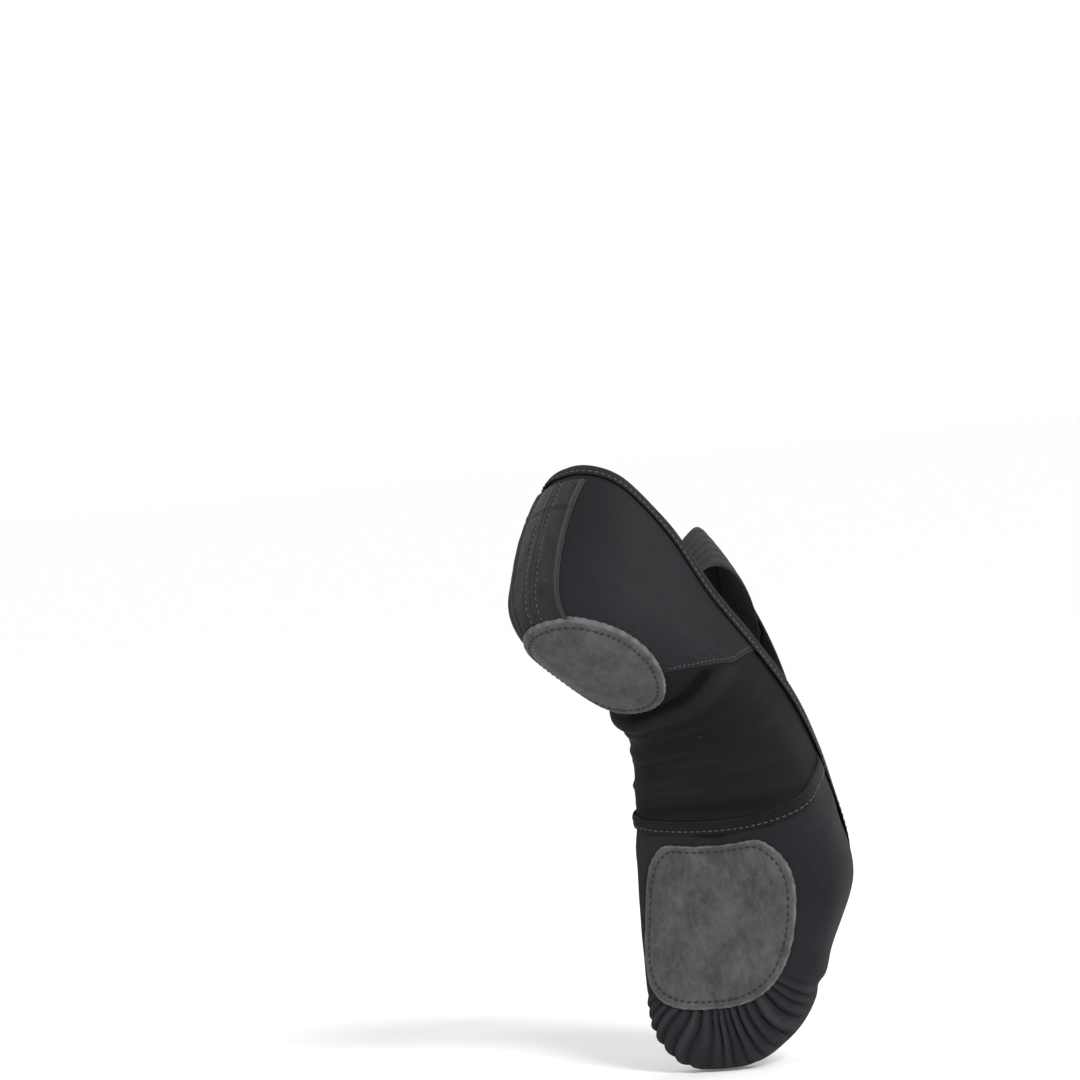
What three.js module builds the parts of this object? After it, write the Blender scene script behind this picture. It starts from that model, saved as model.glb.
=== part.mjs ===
// A right-foot split-sole ballet slipper in stretch canvas, millimetres, +Z up.
// It is drawn flat on a foot-shaped form (heel at x = 0, toe at x = FOOT_LENGTH, outer side at -y),
// and the finished panels are then bent at the arch into a pointed foot, toe down.
// The origin is the middle of the foot opening.
import * as THREE from 'three';

// ---------------------------------------------------------------- driving sizes
const FOOT_LENGTH = 245;            // heel to toe inside the slipper, laid flat
const HEEL_HALF_WIDTH = 24;
const ARCH_HALF_WIDTH = 30;
const BALL_HALF_WIDTH = 42;
const TOE_HALF_WIDTH = 28;
const INSTEP_HEIGHT = 90;           // height of the foot form over the instep
const BALL_HEIGHT = 52;
const TOE_HEIGHT = 23;
const TOPLINE_BACK = 72;            // height of the opening's edge at the back of the heel
const TOPLINE_SIDE = 36;            // its lowest height, at the arch
const THROAT_PLACE = 0.745;         // front end of the opening, as a share of the length

const LINING = 0.6;                 // cloth thicknesses
const CANVAS = 0.8;
const KNIT = 1.0;
const SUEDE = 1.2;
const BINDING = 0.6;
const THREAD = 0.4;
const PAD = 3.0;
const ELASTIC = 1.2;
const CLEARANCE = 0.3;              // gap left between two pieces that touch
const EDGE_CLEARANCE = 0.75;        // gap round an edge with a binding folded over it
const PAD_CLEARANCE = 0.7;          // gap under an inner pad

const BINDING_WIDTH = 5;
const SEAM_TAPE_WIDTH = 5.5;        // folded edge of the vamp along the arch seam
const SEAM_THREAD_WIDTH = 3.2;
const BACKSTAY_HALF_WIDTH = 12.5;
const BACKSTAY_FOOT = 12.6;         // height of its lower end
const BACKSTAY_EDGE = 1.5;          // stitch line, in from its side edge
const TRIM_STITCH = 0.7;            // width of a line of stitches on a trim
const TRIM_STITCH_INSET = 0.9;      // its place, in from the trim's edge
const ROLL_REACH = 0.6;             // how far the vamp's folded edge reaches over the arch seam
const STRAP_WIDTH = 14;
const STRAP_TAIL = 0.16;            // share of a strap that is sewn inside the opening, at each end
const STITCH_INSET = 3;             // stitch groove, in from the edge of a sole patch
const GROOVE_HALF_WIDTH = 0.7;
const GROOVE_DEPTH = 0.8;

// Places along the foot are drawn for one length and one ball width, and move with them.
const LENGTHWISE = FOOT_LENGTH / 245;
const CROSSWISE = BALL_HALF_WIDTH / 42;

// Sole patches: middle along the foot and to the inner side, half sizes, and how square they are.
const FRONT_PATCH = {
  x: 187 * LENGTHWISE,
  y: 4,
  halfLength: 35 * LENGTHWISE,
  halfWidth: 33 * CROSSWISE,
  squareness: 2.8,
  dip: 4,
};
const HEEL_PATCH = {
  x: 37 * LENGTHWISE,
  y: -1,
  halfLength: 34.5 * LENGTHWISE,
  halfWidth: HEEL_HALF_WIDTH,
  squareness: 2.1,
  dip: 0,
};
const PAD_MARGIN = 8;               // an inner pad is this much smaller all round than its patch

const ARCH_BEND = 60;               // degrees that the heel is bent towards the sole
const BEND_AXIS = new THREE.Vector3(0.15, -0.94, -0.30).normalize();
const BEND_START = 68 * LENGTHWISE; // the bend lies between these two places along the sole
const BEND_END = 150 * LENGTHWISE;
const NEUTRAL_HEIGHT = 18;          // height above the sole that keeps its length in the bend
const FOREFOOT_PITCH = 91;          // degrees that the toe points down from level

const ARCH_SEAM_REAR = { sole: 0.18, topline: 0.390 };   // quarters to arch panel
const ARCH_SEAM_FRONT = { sole: 0.606, outer: 0.528, inner: 0.565 };

// ---------------------------------------------------------------- layers, out from the foot
const LINING_IN = 0;
const LINING_OUT = LINING_IN + LINING;
const CANVAS_IN = LINING_OUT + CLEARANCE;
const CANVAS_OUT = CANVAS_IN + CANVAS;
const TRIM_IN = CANVAS_OUT + CLEARANCE;
const SUEDE_OUT = TRIM_IN + SUEDE;
const KNIT_IN = (LINING_IN + CANVAS_OUT - KNIT) / 2;
const BINDING_IN = CANVAS_OUT + EDGE_CLEARANCE;
const BINDING_OUT = BINDING_IN + BINDING;
const BINDING_INNER = LINING_IN - EDGE_CLEARANCE - BINDING;
const STRAP_OUT = BINDING_INNER - EDGE_CLEARANCE;

// ---------------------------------------------------------------- the foot form
const HEEL_ROUND = 0.115;           // share of the length over which the heel rounds off
const TOE_ROUND = 0.13;
const ROUNDNESS = 2.4;              // exponent of the rounded ends seen from above
const HEEL_SQUARENESS = 2.1;        // exponent of the section below the widest line, at the heel
const BALL_SQUARENESS = 2.6;        // and from the arch forward
const TOP_SQUARENESS = 1.9;
const HEEL_EDGE = 0.15;             // share of the length over which the sole turns up at the heel
const TOE_EDGE = 0.05;              // and at the toe
const EDGE_LIFT = 0.4;              // how much of the lower section is left at the very ends
const TOE_TOP_LEFT = 0.5;           // how much of the upper section is left at the toe tip
const SOLE_FLAT = 2;                // depth cut off the section to give a flat sole
const HEEL_HOLLOW = 9;              // how far the back leans forward at the opening's edge
const HOLLOW_HEIGHT = 28;           // height of the heel's rearmost point
const HEEL_FORM_TOP = TOPLINE_BACK + 18;             // the form goes on above the opening's edge

const curveThrough = (pairs) => (t) => {
  const last = pairs.length - 1;
  let k = 0;
  while (k < last - 1 && t > pairs[k + 1][0]) k += 1;
  const slope = (i) => {
    const a = Math.max(i - 1, 0);
    const b = Math.min(i + 1, last);
    return (pairs[b][1] - pairs[a][1]) / (pairs[b][0] - pairs[a][0]);
  };
  const h = pairs[k + 1][0] - pairs[k][0];
  const s = THREE.MathUtils.clamp((t - pairs[k][0]) / h, 0, 1);
  return pairs[k][1] * (1 + 2 * s) * (1 - s) ** 2 + slope(k) * h * s * (1 - s) ** 2
    + pairs[k + 1][1] * s * s * (3 - 2 * s) + slope(k + 1) * h * s * s * (s - 1);
};
const halfWidth = curveThrough([[0, HEEL_HALF_WIDTH], [0.28, (HEEL_HALF_WIDTH + ARCH_HALF_WIDTH) / 2],
  [0.45, ARCH_HALF_WIDTH + 1], [0.62, BALL_HALF_WIDTH - 3], [0.72, BALL_HALF_WIDTH],
  [0.86, (BALL_HALF_WIDTH + TOE_HALF_WIDTH) / 2], [1, TOE_HALF_WIDTH]]);
const centreLine = curveThrough([[0, 0], [0.3, 3], [0.5, 4], [0.7, -2], [0.85, 4], [1, 11]]);
const topHeight = curveThrough([[0, HEEL_FORM_TOP], [0.15, HEEL_FORM_TOP], [0.3, INSTEP_HEIGHT],
  [0.45, INSTEP_HEIGHT - 12], [0.6, (INSTEP_HEIGHT + BALL_HEIGHT) / 2 - 7], [0.72, BALL_HEIGHT],
  [0.85, (BALL_HEIGHT + TOE_HEIGHT) / 2], [1, TOE_HEIGHT]]);
const widestHeight = curveThrough([[0, 22], [0.3, 20], [0.6, 18], [0.8, 14], [1, 10]]);
const toplineHeight = curveThrough([[0, TOPLINE_BACK], [0.1, TOPLINE_BACK - 3],
  [0.2, (TOPLINE_BACK + TOPLINE_SIDE) / 2 + 7], [0.3, TOPLINE_SIDE + 8], [0.39, TOPLINE_SIDE],
  [0.47, TOPLINE_SIDE + 1], [ARCH_SEAM_FRONT.outer, TOPLINE_SIDE + 4]]);

const superRound = (u, n) => (1 - (1 - THREE.MathUtils.clamp(u, 0, 1)) ** n) ** (1 / n);
const endRound = (t, heel, toe, n) => Math.min(superRound(t / heel, n), superRound((1 - t) / toe, n));

function section(t, off) {
  const turn = endRound(t, HEEL_EDGE, TOE_EDGE, ROUNDNESS);
  const toeTurn = superRound((1 - t) / TOE_ROUND, ROUNDNESS);
  const mid = widestHeight(t);
  return {
    mid,
    width: (halfWidth(t) + off) * endRound(t, HEEL_ROUND, TOE_ROUND, ROUNDNESS),
    below: (mid + off + SOLE_FLAT) * (EDGE_LIFT + (1 - EDGE_LIFT) * turn),
    above: (topHeight(t) - mid + off) * (TOE_TOP_LEFT + (1 - TOE_TOP_LEFT) * toeTurn),
  };
}

const soleSquareness = (t) => THREE.MathUtils.lerp(HEEL_SQUARENESS, BALL_SQUARENESS,
  THREE.MathUtils.smoothstep(t, 0.25, 0.6));

function heelLean(t, z) {
  const near = Math.max(0, 1 - t / 0.25) ** 2;
  return HEEL_HOLLOW * near * ((z - HOLLOW_HEIGHT) / (TOPLINE_BACK - HOLLOW_HEIGHT)) ** 2;
}

// A point of the form: t along the foot, angle round its section (-90 sole, 0 outer side,
// 90 instep, 180 inner side), off outward from the foot.
function formPoint(t, angle, off) {
  const part = section(t, off);
  const radians = THREE.MathUtils.degToRad(angle);
  const c = Math.cos(radians);
  const s = Math.sin(radians);
  const n = s < 0 ? soleSquareness(t) : TOP_SQUARENESS;
  const side = -Math.sign(c) * Math.abs(c) ** (2 / n) * part.width;
  const rise = Math.abs(s) ** (2 / n) * (s < 0 ? -part.below : part.above);
  const z = Math.max(part.mid + rise, -off);
  const x = -off + t * (FOOT_LENGTH + 2 * off) + heelLean(t, z);
  return new THREE.Vector3(x, centreLine(t) + side, z);
}

// A point under the foot at a given x, and at a distance round the section from the sole's middle.
const WRAP_STEP = 3;                // degrees between the places that measure the way round
function solePoint(x, aside, off) {
  const t = (x + off) / (FOOT_LENGTH + 2 * off);
  const turn = aside < 0 ? WRAP_STEP : -WRAP_STEP;
  let here = formPoint(t, -90, off);
  let left = Math.abs(aside);
  for (let angle = -90; left > 0; angle += turn) {
    const next = formPoint(t, angle + turn, off);
    const gap = next.distanceTo(here);
    if (gap >= left) return here.lerp(next, left / gap);
    left -= gap;
    here = next;
  }
  return here;
}

// The angle round the section at which the form has a given height on its outer side.
function angleAtHeight(t, z) {
  const part = section(t, CANVAS_OUT);
  const share = THREE.MathUtils.clamp((z - part.mid) / part.above, 0, 1);
  return THREE.MathUtils.radToDeg(Math.asin(share ** (TOP_SQUARENESS / 2)));
}

// ---------------------------------------------------------------- bending into the pointed foot
const SPINE_STEPS = 600;
const SPINE_MARGIN = 40;
const FLAT_TO_POINTED = new THREE.Quaternion().setFromAxisAngle(new THREE.Vector3(0, 1, 0),
  THREE.MathUtils.degToRad(FOREFOOT_PITCH));

function spineFrame(x) {
  const share = THREE.MathUtils.smoothstep(x, BEND_START, BEND_END);
  const bend = new THREE.Quaternion().setFromAxisAngle(BEND_AXIS,
    THREE.MathUtils.degToRad(ARCH_BEND) * (1 - share));
  return FLAT_TO_POINTED.clone().multiply(bend);
}

const spine = (() => {
  const step = (FOOT_LENGTH + 2 * SPINE_MARGIN) / SPINE_STEPS;
  const places = [new THREE.Vector3()];
  for (let i = 1; i <= SPINE_STEPS; i += 1) {
    const middle = -SPINE_MARGIN + (i - 0.5) * step;
    const along = new THREE.Vector3(step, 0, 0).applyQuaternion(spineFrame(middle));
    places.push(places[i - 1].clone().add(along));
  }
  return { step, places };
})();

function bent(point) {
  const place = (point.x + SPINE_MARGIN) / spine.step;
  const k = THREE.MathUtils.clamp(Math.floor(place), 0, SPINE_STEPS - 1);
  const centre = spine.places[k].clone().lerp(spine.places[k + 1], place - k);
  const offset = new THREE.Vector3(0, point.y, point.z - NEUTRAL_HEIGHT);
  return centre.add(offset.applyQuaternion(spineFrame(point.x)));
}

const OPENING_PLACE = 0.4;          // share of the length
const OPENING_CENTRE = bent(new THREE.Vector3(OPENING_PLACE * FOOT_LENGTH, centreLine(OPENING_PLACE),
  (TOPLINE_BACK + TOPLINE_SIDE) / 2));

// ---------------------------------------------------------------- solids from grids of points
// A grid solid has an outer and an inner layer of points, rows by columns. Open edges get a
// rim between the layers, closed ones join up, and a pole closes the last row.
function gridSolid(layers, { ring = false, pole = null } = {}) {
  const [outer, inner] = layers;
  const rows = outer.length;
  const columns = outer[0].length;
  const positions = [];
  const index = [];
  const put = (p) => positions.push(p.x, p.y, p.z) / 3 - 1;
  const ids = [outer, inner].map((layer) => layer.map((row) => row.map((p) => put(bent(p)))));
  const quad = (a, b, c, d) => index.push(a, b, c, a, c, d);
  const spans = ring ? columns : columns - 1;
  for (let i = 0; i < rows - 1; i += 1) {
    for (let j = 0; j < spans; j += 1) {
      const k = (j + 1) % columns;
      quad(ids[0][i][j], ids[0][i][k], ids[0][i + 1][k], ids[0][i + 1][j]);
      quad(ids[1][i][j], ids[1][i + 1][j], ids[1][i + 1][k], ids[1][i][k]);
    }
  }
  for (let j = 0; j < spans; j += 1) {
    const k = (j + 1) % columns;
    quad(ids[1][0][j], ids[1][0][k], ids[0][0][k], ids[0][0][j]);
    if (!pole) {
      const end = rows - 1;
      quad(ids[0][end][j], ids[0][end][k], ids[1][end][k], ids[1][end][j]);
    }
  }
  if (!ring) {
    for (let i = 0; i < rows - 1; i += 1) {
      const last = columns - 1;
      quad(ids[0][i][0], ids[0][i + 1][0], ids[1][i + 1][0], ids[1][i][0]);
      quad(ids[1][i][last], ids[1][i + 1][last], ids[0][i + 1][last], ids[0][i][last]);
    }
  }
  if (pole) {
    const tips = pole.map((p) => put(bent(p)));
    for (let j = 0; j < columns; j += 1) {
      const k = (j + 1) % columns;
      index.push(ids[0][rows - 1][j], ids[0][rows - 1][k], tips[0]);
      index.push(ids[1][rows - 1][k], ids[1][rows - 1][j], tips[1]);
    }
  }
  return facingOut(positions, index);
}

// A closed strip: a section polygon carried round stations, joined end to end or capped.
function sweptSolid(stations, closed) {
  const sides = stations[0].length;
  const positions = [];
  const index = [];
  const put = (p) => positions.push(p.x, p.y, p.z) / 3 - 1;
  const ids = stations.map((station) => station.map((p) => put(bent(p))));
  const spans = closed ? stations.length : stations.length - 1;
  for (let i = 0; i < spans; i += 1) {
    const next = ids[(i + 1) % ids.length];
    for (let j = 0; j < sides; j += 1) {
      const k = (j + 1) % sides;
      index.push(ids[i][j], ids[i][k], next[k], ids[i][j], next[k], next[j]);
    }
  }
  if (!closed) {
    const end = ids[ids.length - 1];
    for (let j = 1; j < sides - 1; j += 1) {
      index.push(ids[0][0], ids[0][j + 1], ids[0][j], end[0], end[j], end[j + 1]);
    }
  }
  return facingOut(positions, index);
}

function facingOut(positions, index) {
  let volume = 0;
  const corner = (i) => new THREE.Vector3().fromArray(positions, 3 * i);
  for (let i = 0; i < index.length; i += 3) {
    const [a, b, c] = [corner(index[i]), corner(index[i + 1]), corner(index[i + 2])];
    volume += a.dot(b.cross(c));
  }
  const geometry = new THREE.BufferGeometry();
  const wanted = volume < 0 ? index.slice().reverse() : index;
  geometry.setAttribute('position', new THREE.Float32BufferAttribute(positions, 3));
  geometry.setIndex(wanted);
  geometry.computeVertexNormals();
  geometry.translate(-OPENING_CENTRE.x, -OPENING_CENTRE.y, -OPENING_CENTRE.z);
  return geometry;
}

const steps = (count) => Array.from({ length: count + 1 }, (_, i) => i / count);
const eased = (count) => steps(count).map((s) => 1 - Math.cos((s * Math.PI) / 2));
const mirrored = (angle, side) => (side < 0 ? angle : 180 - angle);   // side -1 outer, +1 inner

// Columns of points crowd together where the section turns up from the flat sole.
const QUARTER_ROWS = 11;
const ARCH_ROWS = 8;
const THROAT_STEPS = 8;
const VAMP_ROWS = 13;
const VAMP_END = 0.996;             // the last ring of the vamp, before its tip
const SEAM_STATIONS = 26;
const REAR_SEAM_STATIONS = 9;
const STRAP_STATIONS = 30;
const RING_STATIONS = 48;
const PATCH_TURNS = 36;
const PAD_TURNS = 28;
const PATCH_RINGS = [0.22, 0.34, 0.48, 0.62];        // shares of the half width, in from the edge
const PAD_RINGS = [0.06, 0.2, 0.4];
const GROOVE_SLOPE = 0.1;
const RISES = [0, 0.1, 0.19, 0.27, 0.34, 0.41, 0.48, 0.56, 0.66, 0.78, 0.89, 1];
const ACROSS = [...RISES.slice(1).reverse().map((s) => -s), ...RISES];   // outer edge to inner edge

// ---------------------------------------------------------------- the opening's edge
const THROAT_START = ARCH_SEAM_FRONT.outer;
const THROAT_ANGLE = angleAtHeight(THROAT_START, toplineHeight(THROAT_START));
const sideAngle = (t) => angleAtHeight(t, toplineHeight(t));
const edgeAngle = (t) => (t < THROAT_START ? sideAngle(t) : throatAngle(t));
const cornerOf = (side) => (side < 0 ? ARCH_SEAM_FRONT.outer : ARCH_SEAM_FRONT.inner);
const throatAngles = (corner) => eased(THROAT_STEPS).map((s) => THREE.MathUtils.lerp(corner, 90, s));

// How far forward the throat's rounded edge has come at an angle, and the other way round.
function throatPlace(angle) {
  const c = 1 - (angle - THROAT_ANGLE) / (90 - THROAT_ANGLE);
  return THROAT_START + (THROAT_PLACE - THROAT_START) * Math.sqrt(Math.max(0, 1 - c * c));
}

function throatAngle(t) {
  const s = THREE.MathUtils.clamp((t - THROAT_START) / (THROAT_PLACE - THROAT_START), 0, 1);
  return THROAT_ANGLE + (90 - THROAT_ANGLE) * (1 - Math.sqrt(1 - s * s));
}

// The edge is followed through the same places as the panels' own edges.
function toplineHalf(side) {
  const corner = cornerOf(side);
  const quarter = eased(QUARTER_ROWS).map((s) => s * ARCH_SEAM_REAR.topline);
  const arch = steps(ARCH_ROWS).slice(1).map((s) => THREE.MathUtils.lerp(ARCH_SEAM_REAR.topline, corner, s));
  const throat = throatAngles(throatAngle(corner)).slice(1);
  return [...[...quarter, ...arch].map((t) => ({ t, angle: mirrored(edgeAngle(t), side) })),
    ...throat.map((angle) => ({ t: throatPlace(angle), angle: mirrored(angle, side) }))];
}

const toplineLoop = () => [...toplineHalf(-1), ...toplineHalf(1).slice(1, -1).reverse()];

// Moves a place on the form by a distance square to a path, along the surface.
function besidePath(here, before, after, distance, off) {
  const at = (t, angle) => formPoint(t, angle, off);
  const nudge = { t: 0.002, angle: 0.5 };
  const along = at(after.t, after.angle).sub(at(before.t, before.angle)).normalize();
  const dt = at(Math.min(here.t + nudge.t, 1), here.angle).sub(at(Math.max(here.t - nudge.t, 0), here.angle));
  const da = at(here.t, here.angle + nudge.angle).sub(at(here.t, here.angle - nudge.angle));
  const normal = new THREE.Vector3().crossVectors(dt, da).normalize();
  const across = new THREE.Vector3().crossVectors(along, normal).normalize();
  const tRate = across.dot(dt) / dt.lengthSq();
  const aRate = across.dot(da) / da.lengthSq();
  return at(here.t + distance * tRate * 2 * nudge.t, here.angle + distance * aRate * 2 * nudge.angle);
}

// Carries a section, a list of [distance below the path, distance out], along a path.
function strip(path, profile, closed) {
  const count = path.length;
  const wrap = (i) => (closed ? path[(i + count) % count] : path[THREE.MathUtils.clamp(i, 0, count - 1)]);
  const unwound = (place, near) => {
    const turns = Math.round((place.angle - near.angle) / 360);
    return { t: place.t, angle: place.angle - 360 * turns };
  };
  const stations = path.map((here, i) => {
    const before = unwound(wrap(i - 1), here);
    const after = unwound(wrap(i + 1), here);
    return profile.map(([below, off]) => besidePath(here, before, after, below, off));
  });
  return sweptSolid(stations, closed);
}

// ---------------------------------------------------------------- cloth panels
const SEAM_SHARE = CLEARANCE / 2 / FOOT_LENGTH;
const REAR_SEAM_SWEEP = 1.2;        // exponents that sweep the seams back or forward as they rise
const FRONT_SEAM_SWEEP = 1.5;
const rearSeam = (rise) => ARCH_SEAM_REAR.sole
  + (ARCH_SEAM_REAR.topline - ARCH_SEAM_REAR.sole) * rise ** REAR_SEAM_SWEEP;
const frontSeam = (rise, side) => ARCH_SEAM_FRONT.sole
  + (cornerOf(side) - ARCH_SEAM_FRONT.sole) * rise ** FRONT_SEAM_SWEEP;

function clearOfCentre(point, t, side) {
  const inward = side * (point.y - centreLine(t));
  if (inward < CLEARANCE / 2) point.y = centreLine(t) + (side * CLEARANCE) / 2;
  return point;
}

function quarterSolid(side, offIn, offOut) {
  const layer = (off) => RISES.map((rise) => eased(QUARTER_ROWS).map((share) => {
    const t = share * (rearSeam(rise) - SEAM_SHARE);
    const angle = -90 + rise * (sideAngle(t) + 90);
    return clearOfCentre(formPoint(t, mirrored(angle, side), off), t, side);
  }));
  return gridSolid([layer(offOut), layer(offIn)]);
}

function archPanelSolid() {
  const layer = (off) => ACROSS.map((across) => {
    const rise = Math.abs(across);
    const side = across < 0 ? -1 : 1;
    const start = rearSeam(rise) + SEAM_SHARE;
    const end = frontSeam(rise, side) - SEAM_SHARE;
    return steps(ARCH_ROWS).map((share) => {
      const t = THREE.MathUtils.lerp(start, end, share);
      return formPoint(t, mirrored(-90 + rise * (edgeAngle(t) + 90), side), off);
    });
  });
  return gridSolid([layer(KNIT_IN + KNIT), layer(KNIT_IN)]);
}

// The vamp's rear edge at an angle of one side: the arch seam below, the throat above.
function vampStart(angle, side) {
  const cornerAngle = throatAngle(cornerOf(side));
  if (angle >= cornerAngle) return throatPlace(angle);
  return frontSeam((angle + 90) / (cornerAngle + 90), side) + SEAM_SHARE;
}

const vampAngles = (side) => {
  const corner = throatAngle(cornerOf(side));
  return [...RISES.map((s) => -90 + s * (corner + 90)), ...throatAngles(corner).slice(1)];
};

function vampSolid(offIn, offOut) {
  const outer = vampAngles(-1).map((angle) => ({ angle, side: -1 }));
  const inner = vampAngles(1).slice(1, -1).reverse().map((angle) => ({ angle, side: 1 }));
  const places = [...outer, ...inner];
  const layer = (off) => steps(VAMP_ROWS).map((share) => places.map(({ angle, side }) => {
    const start = vampStart(angle, side);
    const t = start + (VAMP_END - start) * (share + Math.sin((share * Math.PI) / 2)) / 2;
    return formPoint(t, mirrored(angle, side), off);
  }));
  const tip = (off) => new THREE.Vector3(FOOT_LENGTH + off, centreLine(1), widestHeight(1));
  return gridSolid([layer(offOut), layer(offIn)], { ring: true, pole: [tip(offOut), tip(offIn)] });
}

// ---------------------------------------------------------------- sole patches and inner pads
function patchPoint(patch, inset, turn, off) {
  const c = Math.cos(turn);
  const s = Math.sin(turn);
  const power = 2 / patch.squareness;
  const rear = patch.dip * Math.max(0, -c) ** 4 * (1 - inset / patch.halfLength);
  const x = patch.x + Math.sign(c) * Math.abs(c) ** power * (patch.halfLength - inset) + rear;
  const y = patch.y + Math.sign(s) * Math.abs(s) ** power * (patch.halfWidth - inset);
  return solePoint(x, y, off);
}

function discSolid(patch, profile, offIn, turns) {
  const angles = steps(turns).slice(0, -1).map((s) => s * 2 * Math.PI);
  const ringAt = ([inset, off]) => angles.map((turn) => patchPoint(patch, inset, turn, off));
  const outer = profile.map(ringAt);
  const inner = profile.map(([inset]) => ringAt([inset, offIn]));
  const centre = (off) => solePoint(patch.x, patch.y, off);
  const middle = [centre(profile[profile.length - 1][1]), centre(offIn)];
  return gridSolid([outer, inner], { ring: true, pole: middle });
}

function solePatchSolid(patch) {
  const floor = SUEDE_OUT - GROOVE_DEPTH;
  const [edge, far] = [STITCH_INSET - GROOVE_HALF_WIDTH, STITCH_INSET + GROOVE_HALF_WIDTH];
  const profile = [[0, SUEDE_OUT], [edge, SUEDE_OUT], [edge + GROOVE_SLOPE, floor], [far, floor],
    [far + GROOVE_SLOPE, SUEDE_OUT], ...PATCH_RINGS.map((s) => [patch.halfWidth * s, SUEDE_OUT])];
  return discSolid(patch, profile, TRIM_IN, PATCH_TURNS);
}

function innerPadSolid(patch) {
  const small = { ...patch, halfLength: patch.halfLength - PAD_MARGIN, halfWidth: patch.halfWidth - PAD_MARGIN };
  const low = LINING_IN - PAD_CLEARANCE;
  const top = low - PAD;
  const profile = [[0, top + PAD / 2], ...PAD_RINGS.map((s) => [small.halfWidth * s, top])];
  return discSolid(small, profile, low, PAD_TURNS);
}

function stitchRingSolid(patch) {
  const low = SUEDE_OUT - GROOVE_DEPTH + CLEARANCE;
  const half = GROOVE_HALF_WIDTH - CLEARANCE;
  const stations = steps(RING_STATIONS).slice(0, -1).map((s) => [[-half, low], [half, low],
    [half, low + THREAD], [-half, low + THREAD]].map(([aside, off]) =>
    patchPoint(patch, STITCH_INSET + aside, s * 2 * Math.PI, off)));
  return sweptSolid(stations, true);
}

// ---------------------------------------------------------------- trims
const INNER_LEG_SHORTER = 1;        // the binding's inner leg ends this much higher
function bindingSolid() {
  const fold = -EDGE_CLEARANCE;
  const innerLeg = BINDING_WIDTH - INNER_LEG_SHORTER;
  const profile = [[BINDING_WIDTH, BINDING_OUT], [fold - BINDING, BINDING_OUT],
    [fold - BINDING, BINDING_INNER], [innerLeg, BINDING_INNER],
    [innerLeg, BINDING_INNER + BINDING], [fold, BINDING_INNER + BINDING],
    [fold, BINDING_IN], [BINDING_WIDTH, BINDING_IN]];
  return strip(toplineLoop(), profile, true);
}

function toplineThreadSolid() {
  const low = BINDING_OUT + CLEARANCE;
  const far = BINDING_WIDTH - TRIM_STITCH_INSET;
  const near = far - TRIM_STITCH;
  return strip(toplineLoop(), [[near, low], [near, low + THREAD], [far, low + THREAD], [far, low]], true);
}

// Height share of a seam at which it leaves the binding's lower edge.
function riseBelowBinding(t, margin) {
  const top = toplineHeight(t);
  const angle = angleAtHeight(t, top - BINDING_WIDTH - margin);
  return (angle + 90) / (sideAngle(t) + 90);
}

const REAR_SEAM_SHOWS = 0.4;        // height share at which the rear seam comes out from the heel patch
const REAR_SEAM_MARGIN = 1;         // gaps left under the binding where a seam meets it
const FRONT_SEAM_MARGIN = { outer: 3, inner: 5 };
const SEAM_TOP_BACK = 0.01;         // the rear seam's top is met this share of the length further back

function rearSeamThreadSolid(side) {
  const end = riseBelowBinding(ARCH_SEAM_REAR.topline - SEAM_TOP_BACK, REAR_SEAM_MARGIN);
  const path = steps(REAR_SEAM_STATIONS).map((s) => {
    const rise = THREE.MathUtils.lerp(REAR_SEAM_SHOWS, end, s);
    const t = rearSeam(rise);
    return { t, angle: mirrored(-90 + rise * (sideAngle(t) + 90), side) };
  });
  const half = SEAM_THREAD_WIDTH / 2;
  const low = TRIM_IN;
  return strip(path, [[-half, low], [half, low], [half, low + THREAD], [-half, low + THREAD]], false);
}

function frontSeamPath(count) {
  return steps(count).map((s) => {
    const side = s < 0.5 ? -1 : 1;
    const margin = side < 0 ? FRONT_SEAM_MARGIN.outer : FRONT_SEAM_MARGIN.inner;
    const limit = riseBelowBinding(THROAT_START, margin);
    const rise = Math.abs(2 * s - 1) * limit;
    return { t: frontSeam(rise, side), angle: mirrored(-90 + rise * (throatAngle(cornerOf(side)) + 90), side) };
  });
}

function seamTapeSolid() {
  const [near, far] = [ROLL_REACH - SEAM_TAPE_WIDTH, ROLL_REACH];
  return strip(frontSeamPath(SEAM_STATIONS), [[near, TRIM_IN], [far, TRIM_IN], [far, TRIM_IN + BINDING],
    [near, TRIM_IN + BINDING]], false);
}

function seamTapeThreadSolid() {
  const low = TRIM_IN + BINDING + CLEARANCE;
  const near = ROLL_REACH - SEAM_TAPE_WIDTH + TRIM_STITCH_INSET;
  const far = near + TRIM_STITCH;
  const profile = [[near, low], [far, low], [far, low + THREAD], [near, low + THREAD]];
  return strip(frontSeamPath(SEAM_STATIONS), profile, false);
}

// A place on the heel at a distance to the side of the centre back and a height.
const HEEL_SECTION = 0.02;          // share of the length whose section the heel's strips follow
const WIDEST_SHARE = 0.98;
function heelPoint(y, z, off) {
  const part = section(HEEL_SECTION, off);
  const share = (z - part.mid) / (z < part.mid ? part.below : part.above);
  const n = z < part.mid ? HEEL_SQUARENESS : TOP_SQUARENESS;
  const narrowing = (1 - Math.min(1, Math.abs(share)) ** n) ** (1 / n);
  const wide = Math.min(WIDEST_SHARE, Math.abs(y) / ((HEEL_HALF_WIDTH + off) * narrowing));
  const t = HEEL_ROUND * (1 - (1 - wide ** ROUNDNESS) ** (1 / ROUNDNESS));
  return new THREE.Vector3(-off + t * (FOOT_LENGTH + 2 * off) + heelLean(t, z), y, z);
}

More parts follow.
